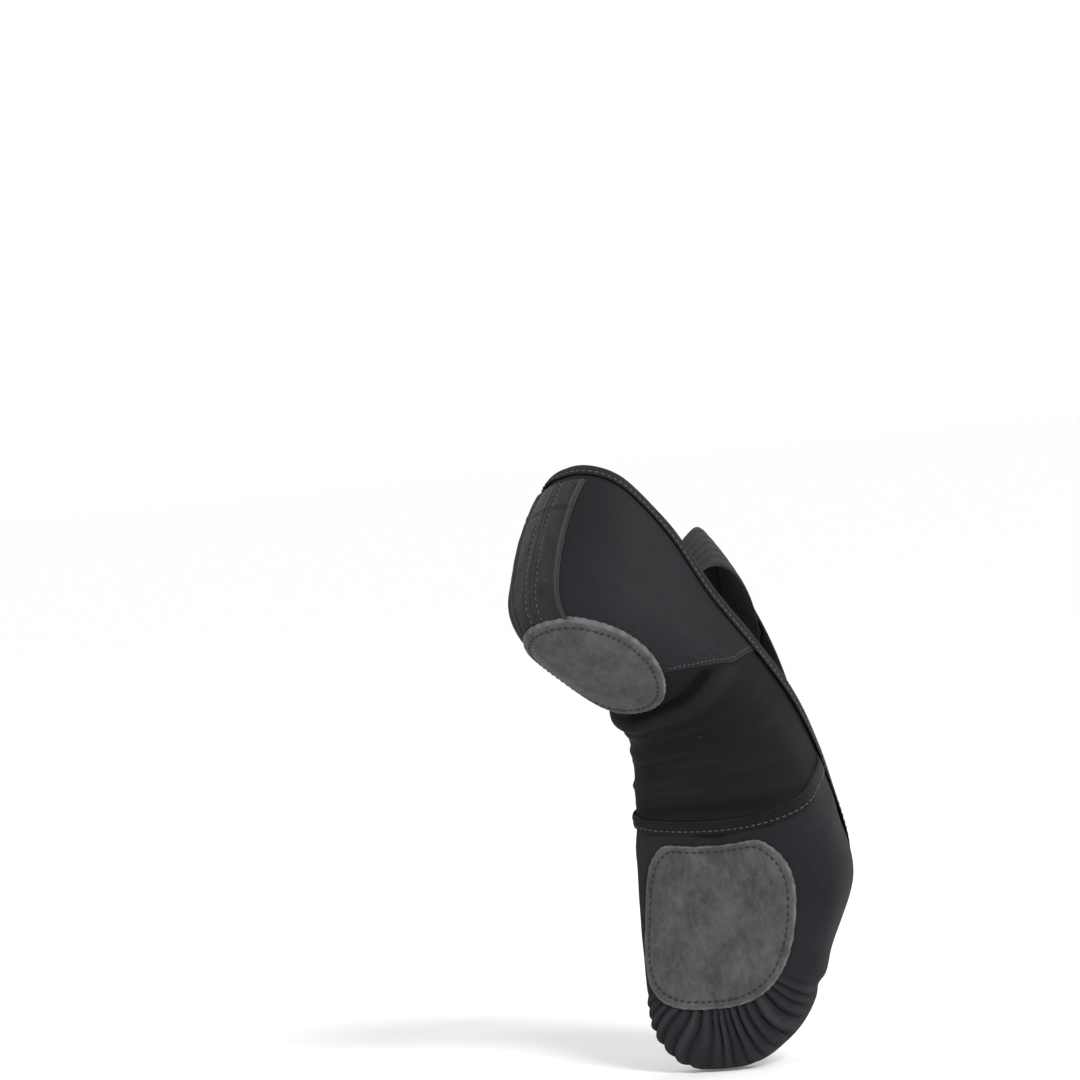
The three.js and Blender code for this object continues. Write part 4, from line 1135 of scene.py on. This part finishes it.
def make_quarter(word, side, layer_name, off_in, off_out, node, material):
    rise = crowded(QUARTER_RINGS)[:, None]
    share = eased(QUARTER_COLUMNS)[None, :]
    t = share * (rear_seam(rise) - PANEL_GAP)
    angle = mirrored(-90 + rise * (side_angle(t) + 90), side)
    rise, share = np.broadcast_arrays(rise, share)
    relief, painted_shade = quarter_relief(t, angle, rise, share)

    def layer(off):
        """One face of the cloth, kept on its own side of the heel's middle."""
        points = form_point(t, angle, off + relief * smooth(share, 0.0, 0.1))
        aside = side * (points[..., 1] - centre_line(t))
        points[..., 1] = np.where(aside < MIDDLE_GAP, centre_line(t) + side * MIDDLE_GAP,
                                  points[..., 1])
        return points

    # The seam edge strip is given as both painted shade and painted highlight.
    obj = double_cloth(f"heel_quarter{layer_name}_{word}", layer(off_out), layer(off_in), False, None,
                       {"painted_shade": painted_shade, "pale_edge_and_highlight": painted_shade})
    return finish_piece(obj, material, [node])


for word, side in (("outer", -1), ("inner", 1)):
    make_quarter(word, side, "", CANVAS_IN, CANVAS_OUT, f"quarter_{word}", CANVAS_CLOTH)
    make_quarter(word, side, "_lining", 0.0, LINING_OUT, f"quarter_lining_{word}", LINING_CLOTH)

# %% Arch knit
ARCH_COLUMNS = 120
HEM_SHARE, HEM_TUCK = -0.016, -0.75           # a narrow hem lies under the quarters' edge


def make_arch():
    half = crowded(74)
    across = np.concatenate([-half[1:][::-1], half])[:, None]
    rise, side = np.abs(across), np.where(across < 0, -1, 1)
    share = np.append(HEM_SHARE, np.linspace(0, 1, ARCH_COLUMNS))[None, :]
    tucked = np.where(share < 0, HEM_TUCK, 0)
    length = front_seam(rise, side) - rear_seam(rise) - PANEL_GAP - TAPE_GAP
    t = rear_seam(rise) + PANEL_GAP + length * share
    angle = mirrored(-90 + rise * (edge_angle(t) + 90), side)
    relief, painted_shade, ridge = arch_relief(t, angle, *np.broadcast_arrays(rise, share))
    obj = double_cloth("arch_knit", form_point(t, angle, KNIT_OUT + relief + tucked),
                       form_point(t, angle, KNIT_IN + relief + tucked), False, None,
                       {"painted_shade": painted_shade, "pale_edge_and_highlight": 0.3 * ridge})
    return finish_piece(obj, ARCH_KNIT, ["arch_panel"])


make_arch()

# %% [markdown]
# ## Suede patches
#
# Two pieces of suede are sewn on for grip. Their cut edge is thick and fuzzy, and the seam pulls
# a shallow channel a few millimetres in from it. The disc is made of rings that follow the
# patch's outline, so the channel and the rounded edge are simply heights along the way in.

# %% Patches
STITCH_INSET, STITCH_RADIUS = 3.0, 31         # the row's way in from the edge, and its mean radius


def patch_ring(patch, inset, turn):
    c, s = np.cos(turn), np.sin(turn)
    power = 2 / patch["squareness"]
    back = np.maximum(0, -c)
    rear = patch["dip"] * (back ** 4 + 0.55 * back ** 14 - 0.25 * bump(c, -0.86, 0.1))
    rear = rear * (1 - inset / patch["half_length"])
    x = patch["x"] + np.sign(c) * np.abs(c) ** power * (patch["half_length"] - inset) + rear
    y = patch["y"] + np.sign(s) * np.abs(s) ** power * (patch["half_width"] - inset)
    return x, y


def patch_middles(patch, offs):
    """The middle of a patch at each distance out from the foot."""
    return np.array([sole_point([patch["x"]], [patch["y"]], off)[0] for off in offs])


def make_patch(name, patch, node, body):
    turn = np.linspace(0, 2 * math.pi, 241)[:-1][None, :]
    edge = np.array([0.0, 0.12, 0.4, 0.8, 1.3])
    channel = np.linspace(1.8, 4.6, 12)
    inner = np.linspace(5.4, patch["half_width"] - 1.5, 26)
    inset = np.concatenate([edge, channel, inner])[:, None]
    x, y = patch_ring(patch, inset, turn)
    rough_edge = (0.13 * np.sin(turn * 53 + 2.3 * np.sin(turn * 7))
                  + 0.08 * np.sin(turn * 101 + 2 * np.sin(turn * 5)))
    x = x + rough_edge * np.cos(turn) * bump(inset, 0, 0.9)
    y = y + rough_edge * np.sin(turn) * bump(inset, 0, 0.9)
    stitches = 0.5 + 0.5 * np.cos(turn * round(2 * math.pi * STITCH_RADIUS / PATCH_STITCH[0]))
    channel_depth = bump(inset, STITCH_INSET, 0.6) * (0.16 + 0.16 * stitches)
    height = SUEDE_OUT - 0.8 * (1 - super_round(inset / 0.9, 2.6)) - channel_depth
    swell = 0.35 * smooth(inset, 4.5, 14) + 0.22 * ripple(x * 2.2, y * 2.2, 5.0) * smooth(inset, 4, 9)
    dimple = sole_dimple(x, y) if body == "forefoot" else 0 * x
    top = sole_point(x, y, height + swell + dimple)
    low = sole_point(x, y, TRIM_IN + dimple)
    # The paler cut edge is the suede's own colour. The stitch channel gets painted shade, strongest at
    # each stitch.
    pale_edge_and_highlight = bump(inset, 0.2, 0.55) * (0.65 + 0.35 * np.sin(turn * 23 + 3 * np.sin(turn * 4))) + 0 * x
    painted_shade = bump(inset, STITCH_INSET, 0.7) * (0.05 + 0.15 * stitches) + 0 * x
    obj = double_cloth(name, top, low, True, patch_middles(patch, (SUEDE_OUT + 0.35, TRIM_IN)),
                       {"painted_shade": painted_shade, "pale_edge_and_highlight": pale_edge_and_highlight})
    finish_piece(obj, SUEDE, [node], body)
    around = np.linspace(0, 2 * math.pi, 361)[:-1]
    sx, sy = patch_ring(patch, STITCH_INSET, around)
    sunk = SUEDE_OUT - 0.12 + (sole_dimple(sx, sy) if body == "forefoot" else 0)
    row = stitch_row(f"{name}_stitches", sole_point(sx, sy, sunk), sole_point(sx, sy, sunk + 1),
                     True, *PATCH_STITCH, thread=DARK_THREAD)
    finish_piece(row, None, [f"{body.replace('forefoot', 'front')}_sole_stitching"], body)


make_patch("front_patch", FRONT_PATCH, "front_sole_patch", "forefoot")
make_patch("heel_patch", HEEL_PATCH, "heel_sole_patch", "heel")

# %% [markdown]
# ## Inner pads
#
# Inside, under the ball and the heel, lies a thin pad of quilted foam. The quilting lines pull the
# cover down to the foam and it swells between them. That pattern is regular and shallow, so a rule
# for the height gives it here.

# %% Pads
PAD_MARGIN, PAD_THICKNESS, PAD_GAP, QUILT_PITCH = 8.0, 3.0, 0.7, 9


def make_pad(name, patch, node, body):
    small = dict(patch, half_length=patch["half_length"] - PAD_MARGIN,
                 half_width=patch["half_width"] - PAD_MARGIN)
    turn = np.linspace(0, 2 * math.pi, 121)[:-1][None, :]
    inset = np.concatenate([[0, 0.3, 0.9, 1.8], np.linspace(3, small["half_width"] - 1, 16)])[:, None]
    x, y = patch_ring(small, inset, turn)
    quilt = (np.abs(np.sin(x * math.pi / QUILT_PITCH)) ** 0.5
             * np.abs(np.sin(y * math.pi / QUILT_PITCH)) ** 0.5)
    crown = super_round(inset / 2.5, 2.2) * (0.55 + 0.45 * quilt * smooth(inset, 0, 3))
    top = sole_point(x, y, -PAD_GAP - PAD_THICKNESS * crown)
    low = sole_point(x, y, -PAD_GAP + 0 * x)
    middles = patch_middles(patch, (-PAD_GAP - PAD_THICKNESS, -PAD_GAP))
    # Painted shade darkens the quilting lines.
    obj = double_cloth(name, top, low, True, middles,
                       {"painted_shade": (1 - quilt) * 0.6 + 0 * x, "pale_edge_and_highlight": 0 * x})
    finish_piece(obj, LINING_CLOTH, [node], body)


make_pad("ball_pad", FRONT_PATCH, "front_inner_pad", "forefoot")
make_pad("heel_pad", HEEL_PATCH, "heel_inner_pad", "heel")

# %% [markdown]
# ## Binding round the opening
#
# A strip of canvas is folded over the raw edges of the panels and sewn down through them. The
# fold is a soft roll, not a sharp corner. Its section is a closed line carried along the edge,
# and the stitches pull it in a little at every step.

# %% Binding
BINDING_WIDTH = 5.0
FOLD = 1.2                                       # how far the roll stands above the panels' edge
OUT_LEG, IN_LEG = 2.45, -1.35


def rolled_profile():
    """(distance below the edge, distance out) round a folded strip."""
    middle = (OUT_LEG + 0.6 + IN_LEG) / 2
    radius = (OUT_LEG + 0.6 - IN_LEG) / 2
    outer = [(BINDING_WIDTH, OUT_LEG + 0.35), (BINDING_WIDTH - 0.35, OUT_LEG + 0.62),
             (BINDING_WIDTH - 1.2, OUT_LEG + 0.5), (3.0, OUT_LEG + 0.72), (1.6, OUT_LEG + 0.75),
             (0.6, OUT_LEG + 0.66)]
    roll = [(-FOLD * math.sin(a) + 0.2 * math.cos(a), middle + radius * math.cos(a))
            for a in np.linspace(0.25, math.pi - 0.25, 9)]
    inner = [(1.0, IN_LEG), (BINDING_WIDTH - 1.2, IN_LEG + 0.05), (BINDING_WIDTH - 1, IN_LEG + 0.3),
             (BINDING_WIDTH - 1.2, IN_LEG + 0.6), (1.0, IN_LEG + 0.6)]
    under = [(-FOLD + 0.6, IN_LEG + 0.75), (-FOLD + 0.6, OUT_LEG - 0.15), (1.0, OUT_LEG),
             (BINDING_WIDTH - 0.6, OUT_LEG)]
    return np.array(outer + roll + inner + under)


def evenly_spaced(t, angle, spacing):
    """The same path with evenly spaced places."""
    points = form_point(t, angle, CANVAS_OUT)
    run = np.append(0, np.cumsum(np.linalg.norm(np.diff(points, axis=0), axis=-1)))
    where = np.linspace(0, run[-1], int(run[-1] / spacing) + 1)
    return np.interp(where, run, t), np.interp(where, run, angle)


def even_topline(spacing):
    halves = [evenly_spaced(*topline_path(side), spacing) for side in (-1, 1)]
    return tuple(np.concatenate([a, b[1:-1][::-1]]) for a, b in zip(*halves)) + (True,)


EDGE_STEP = 0.8
EDGE = even_topline(EDGE_STEP)


def sew_beside(name, path, distance, low, high, node, stitch, tilt=0.0):
    """Stitches beside a path, low out from the foot; high is only further out."""
    lines = [beside_path(path, distance, off)[:, 0] for off in (low, high)]
    row = stitch_row(name, *lines, path[2], *stitch, tilt=tilt)
    finish_piece(row, None, [node])


def make_binding():
    profile = rolled_profile()
    run = np.arange(len(EDGE[0]))[:, None] * EDGE_STEP
    dips = np.cos(run * 2 * math.pi / OPENING_STITCH[0])
    pull = 0.16 * dips * bump(profile[:, 0], BINDING_WIDTH - 1.2, 1.0)
    uneven = 0.18 * np.sin(run * 0.33) * np.sin(run * 0.071 + 1)
    outside = profile[:, 1] > 1.5
    distance = profile[:, 0] + 0.15 * uneven + 0 * run
    off = profile[:, 1] + np.where(outside, pull + 0.5 * uneven * (profile[:, 0] < 3), 0)
    obj = swept_cloth("opening_binding", beside_path(EDGE, distance, off), True)
    finish_piece(obj, BINDING_CLOTH, ["topline_binding"])
    sew_beside("opening_stitches", EDGE, BINDING_WIDTH - 1.3, OUT_LEG + 0.66, OUT_LEG + 1.5,
               "topline_stitching", OPENING_STITCH)


make_binding()

# %% [markdown]
# ## Seams between the panels
#
# Where the vamp meets the knit its edge is folded and sewn down as a flat tape. The quarters
# are joined to the knit with small stitches that lean to and fro, so that the seam can stretch.

# %% Seam tape and seam stitches
TAPE_NEAR, TAPE_FAR = -0.6, 4.9               # from just over the knit to the vamp's side


def rise_below_binding(t, margin):
    angle = angle_at_height(t, topline_height(t) - BINDING_WIDTH - margin)
    return float((angle + 90) / (side_angle(t) + 90))


def front_seam_path(count=260):
    s = np.linspace(0, 1, count)
    side = np.where(s < 0.5, -1, 1)
    limit = np.where(side < 0, rise_below_binding(THROAT_START, 3),
                     rise_below_binding(THROAT_START, 5))
    rise = np.abs(2 * s - 1) * limit
    _, corner = seam_corner(side)
    return front_seam(rise, side), mirrored(-90 + rise * (corner + 90), side), False


def tape_profile():
    top = [(TAPE_NEAR, TRIM_IN + 0.25), (TAPE_NEAR + 0.3, TRIM_OUT + 0.15), (1.0, TRIM_OUT + 0.3),
           (2.0, TRIM_OUT + 0.25), (3.0, TRIM_OUT + 0.02), (3.6, TRIM_OUT + 0.12),
           (TAPE_FAR - 0.5, TRIM_OUT + 0.1), (TAPE_FAR, TRIM_IN + 0.25)]
    return np.array(top + [(TAPE_FAR - 0.3, TRIM_IN), (2.0, TRIM_IN), (TAPE_NEAR + 0.3, TRIM_IN)])


def make_seam_tape():
    path = front_seam_path()
    profile = tape_profile()
    run = np.linspace(0, 1, len(path[0]))[:, None] * 200
    wave = 0.14 * np.sin(run * 0.9) + 0.1 * np.sin(run * 0.37 + 1)
    off = profile[:, 1] + wave * (profile[:, 1] > TRIM_IN + 0.1) * bump(profile[:, 0], 1.2, 1.5)
    height = form_point(path[0], path[1], CANVAS_OUT)[:, 2:3]
    # Painted shadow: the tape is darkened where it runs low under the sole.
    sunk = 0.6 * np.clip(1.1 - height / 14, 0, 1) + 0 * profile[:, 0]
    obj = swept_cloth("vamp_seam_fold", beside_path(path, -profile[:, 0] + 0 * run, off), False,
                      {"painted_shade": sunk, "pale_edge_and_highlight": 0 * sunk})
    finish_piece(obj, BINDING_CLOTH, ["vamp_seam_tape"])
    sew_beside("vamp_seam_stitches", path, -3.3, TRIM_OUT + 0.1, TRIM_OUT + 1,
               "vamp_seam_stitching", TAPE_STITCH)


def make_rear_seam(word, side):
    end = rise_below_binding(SEAM_REAR_TOP - 0.01, 1)
    rise = np.linspace(0.4, end, 60)
    t = rear_seam(rise)
    path = (t, mirrored(-90 + rise * (side_angle(t) + 90), side), False)
    sew_beside(f"quarter_seam_stitches_{word}", path, 1.5 * side, CANVAS_OUT + 0.2,
               CANVAS_OUT + 1.5, f"quarter_seam_stitching_{word}", ZIGZAG_STITCH, ZIGZAG_TILT)


make_seam_tape()
for word, side in (("outer", -1), ("inner", 1)):
    make_rear_seam(word, side)

# %% [markdown]
# ## Backstay
#
# Two strips of brushed cloth cover the back seam. Each has a narrow turned edge, and they meet
# at the centre line, with a row of stitches on each side of it.

# %% Backstay
BACKSTAY_HALF, BACKSTAY_TOP = 12.5, 65.0
BACKSTAY_DROP = 8.0                              # how far it runs on under the heel, to the patch
TURN_HEIGHT, TURN_DEPTH = 17.0, 14.5             # where it turns under, and how far down it goes
NEAR_POINTS = 6                                  # skin points averaged under each place


def heel_skin(off):
    """Points of the heel at one distance from the foot, and which way is out at each."""
    t = (np.linspace(0, 1, 130) ** 2 * 0.13)[:, None]
    angle = np.linspace(-90, 75, 140)[None, :]
    halves = []
    for side in (-1, 1):
        points = form_point(t, mirrored(angle, side), off)
        further = form_point(t, mirrored(angle, side), off + 1)
        halves.append((points.reshape(-1, 3), further.reshape(-1, 3)))
    points, further = (np.concatenate(pair) for pair in zip(*halves))
    return points, unit(further - points)


def backstay_line():
    """The back of the heel from the top down and on under it: places seen from the side."""
    height = np.linspace(BACKSTAY_TOP, TURN_HEIGHT, 220)
    back = np.stack([heel_lean(0.0, height), height], -1)
    turn = np.linspace(0, 1, 60)[1:]
    under = np.stack([back[-1, 0] + BACKSTAY_DROP * turn ** 1.6,
                      TURN_HEIGHT - TURN_DEPTH * np.sin(turn * math.pi / 2)], -1)
    line = np.concatenate([back, under])
    run = np.append(0, np.cumsum(np.linalg.norm(np.diff(line, axis=0), axis=-1)))
    where = np.linspace(0, run[-1], 170)
    return np.stack([np.interp(where, run, line[:, 0]), np.interp(where, run, line[:, 1])], -1), where


def wrapped(y, line, off, lift):
    """Lays places at a distance to the side of a line onto the heel, lifted outward."""
    points, outward = heel_skin(off)
    back = line[:, :1] - 4 + (y / 24.0) ** 2 * 13
    wanted = np.stack(np.broadcast_arrays(back, y, line[:, 1:]), -1)
    flat = wanted.reshape(-1, 3)
    tree = KDTree(len(points))
    for k, point in enumerate(points):
        tree.insert(point, k)
    tree.balance()
    found = [tree.find_n(place, NEAR_POINTS) for place in flat]
    nearest = np.array([[hit[1] for hit in hits] for hits in found])
    share = 1 / (np.array([[hit[2] for hit in hits] for hits in found]) + 0.6)[..., None]
    share /= share.sum(1, keepdims=True)
    base = (points[nearest] * share).sum(1)
    out = unit((outward[nearest] * share).sum(1))
    slide = flat - base                       # the nearest place, moved within the skin
    base = base + slide - out * np.sum(slide * out, -1, keepdims=True)
    return base.reshape(wanted.shape) + out.reshape(wanted.shape) * np.asarray(lift)[..., None]


def make_backstay(word, side):
    y = np.linspace(0.15, BACKSTAY_HALF, 44)[None, :]
    line, run = backstay_line()
    run = run[:, None] + 0 * y
    rough_top = (1 - smooth(run, 0, 5)) * (0.8 * np.sin(y * 1.9) + 0.5 * np.sin(y * 4.1 + side))
    edge = 0.75 * bump(y, BACKSTAY_HALF - 0.8, 0.65) - 0.2 * bump(y, BACKSTAY_HALF - 2.2, 0.8)
    centre = 0.1 * bump(y, 1.2, 1.0) - 0.14 * bump(y, 2.8, 0.7)
    cross = 0.2 * bump(run, 13.2 + 0.1 * y, 1.2) - 0.16 * bump(run, 15.3 + 0.1 * y, 0.8)
    soft = 0.22 * ripple(y * 6, run * 2.2, 6.0 + side)
    fade = smooth(run, -1, 2)
    top = wrapped(side * y, line, TRIM_OUT, (edge + centre + cross + soft) * fade + 0.15 * rough_top)
    low = wrapped(side * y, line, TRIM_IN, 0 * run)
    # Painted shade in the cross seam's groove and beside the centre stitches, and a painted highlight
    # along the turned edge.
    painted_shade = 0.3 * bump(run, 15.5 + 0.1 * y, 0.7) + 0.2 * bump(y, 2.8, 0.7)
    obj = double_cloth(f"backstay_strip_{word}", top, low, False, None,
                       {"painted_shade": painted_shade, "pale_edge_and_highlight": bump(y, BACKSTAY_HALF - 0.8, 0.5) + 0 * run})
    finish_piece(obj, BACKSTAY_CLOTH, [f"backstay_{word}"], "heel")
    column = np.array([[side * 2.8]])
    low, high = (wrapped(column, line[4:-4], TRIM_OUT, 0 * run[4:-4, :1] + lift)[:, 0]
                 for lift in (0.0, 1.0))
    row = stitch_row(f"backstay_stitches_{word}", low, high, False, *BACKSTAY_STITCH)
    finish_piece(row, None, [f"backstay_stitching_{word}"], "heel")


for word, side in (("outer", -1), ("inner", 1)):
    make_backstay(word, side)

# %% [markdown]
# ## Elastic straps
#
# Two flat elastics cross over the instep. The weave of such an elastic makes a few lengthwise
# ribs with a thin woven edge, so the section is a row of low humps, carried from one edge of
# the opening to the other.

# %% Straps
STRAP_REAR, STRAP_FRONT, STRAP_HALF, ELASTIC_THICK = 0.24, 0.60, 7.0, 1.2
STRAP_OUT, STRAP_LIFT, STRAP_TAIL_SHARE, RIBS = -2.1, 1.8, 0.16, 6


def make_strap(name, side, over, node):
    rear, front = float(side_angle(STRAP_REAR)), float(throat_angle(STRAP_FRONT))
    s = np.linspace(-STRAP_TAIL_SHARE, 1 + STRAP_TAIL_SHARE, 200)
    t = STRAP_REAR + s * (STRAP_FRONT - STRAP_REAR)
    angle = mirrored(rear + s * (180 - front - rear), side)
    across = np.linspace(-STRAP_HALF, STRAP_HALF, 49)
    ribs = 0.42 * np.abs(np.sin((across / STRAP_HALF + 1) * math.pi * RIBS / 2)) ** 0.7
    ribs = np.where(np.abs(across) > STRAP_HALF - 0.2, -0.25, ribs)
    hump = over * STRAP_LIFT * np.exp(-(((s - 0.5) / 0.22) ** 4))[:, None]
    upper = STRAP_OUT - 0.3 + hump + ribs[None, :]
    lower = STRAP_OUT - ELASTIC_THICK + hump + 0 * ribs[None, :]
    distance = np.concatenate([across, across[::-1][1:-1]])[None, :] + 0 * hump
    off = np.concatenate([upper, lower[:, ::-1][:, 1:-1]], axis=1)
    # Painted shade in the gaps between the ribs and along the thin edges.
    marks = np.concatenate([1 - ribs / 0.42, np.zeros(len(across) - 2)])[None, :] + 0 * hump
    obj = swept_cloth(name, beside_path((t, angle, False), distance, off), False,
                      {"painted_shade": np.clip(marks, 0, 1) * 0.6, "pale_edge_and_highlight": 0 * marks})
    finish_piece(obj, ELASTIC, [node])


make_strap("strap_under", -1, 0, "elastic_strap_under")
make_strap("strap_over", 1, 1, "elastic_strap_over")

# %% [markdown]
# ## Studio
#
# A pale floor lies under the toe in a bright even surround. A soft sun from the right and three
# weaker panels round the slipper show the folds of the black cloth. The surround is full white
# where it is seen, but it lights the scene at half that, so that the fabrics stay dark.

# %% Floor and lights
low_corner, high_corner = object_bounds()
floor_mesh = bpy.data.meshes.new("studio_floor")
FLOOR_RADIUS, FLOOR_SIDES, FLOOR_DROP = 30.0, 64, 0.0002
ring = [(FLOOR_RADIUS * math.cos(a), FLOOR_RADIUS * math.sin(a), low_corner.z - FLOOR_DROP)
        for a in np.linspace(0, 2 * math.pi, FLOOR_SIDES + 1)[:-1]]
floor_mesh.from_pydata(ring, [], [list(range(FLOOR_SIDES))])
floor = bpy.data.objects.new("studio_floor", floor_mesh)
bpy.context.scene.collection.objects.link(floor)
floor_material = bpy.data.materials.new("pale floor")
floor_material.use_nodes = True
floor_shader = floor_material.node_tree.nodes["Principled BSDF"]
floor_shader.inputs["Base Color"].default_value = (0.9, 0.9, 0.9, 1)
floor_shader.inputs["Roughness"].default_value = 0.6
floor_shader.inputs["Specular IOR Level"].default_value = 0.2
floor_shader.inputs["Emission Color"].default_value = (1, 1, 1, 1)
floor_shader.inputs["Emission Strength"].default_value = 0.14
floor.data.materials.append(floor_material)

bpy.context.scene.view_settings.view_transform = "Standard"
world = bpy.data.worlds.new("studio surround")
bpy.context.scene.world = world
world.use_nodes = True
surround = world.node_tree
surround.nodes["Background"].inputs["Color"].default_value = (1, 1, 1, 1)
seen = surround.nodes.new("ShaderNodeLightPath")
level = surround.nodes.new("ShaderNodeMapRange")
level.inputs["To Min"].default_value, level.inputs["To Max"].default_value = 0.5, 1.0
surround.links.new(seen.outputs["Is Camera Ray"], level.inputs["Value"])
surround.links.new(level.outputs["Result"], surround.nodes["Background"].inputs["Strength"])


def aimed_light(name, kind, place, target, power):
    data = bpy.data.lights.new(name, kind)
    data.energy = power
    light = bpy.data.objects.new(name, data)
    light.location = place
    light.rotation_euler = (Vector(target) - Vector(place)).to_track_quat("-Z", "Y").to_euler()
    bpy.context.scene.collection.objects.link(light)
    return data


middle = (low_corner + high_corner) / 2
SUN_FROM = level_right * 0.62 + view_back * 1.5 + Vector((0, 0, 0.72))
sun = aimed_light("key_light", "SUN", middle + SUN_FROM * 3, middle, 3.3)
sun.angle = math.radians(15)
for name, place, size, power in (
        ("left_fill", view_back * 1.4 - level_right * 1.1 + Vector((0, 0, 0.5)), 1.0, 7),
        ("right_rim", level_right * 1.6 - view_back * 0.5 + Vector((0, 0, 0.4)), 0.9, 10),
        ("far_fill", -view_back * 1.5 + level_right * 0.4 + Vector((0, 0, 1.0)), 1.0, 4)):
    panel = aimed_light(name, "AREA", middle + place, middle, power)
    panel.shape, panel.size = "DISK", size
print("floor at", round(low_corner.z, 4))
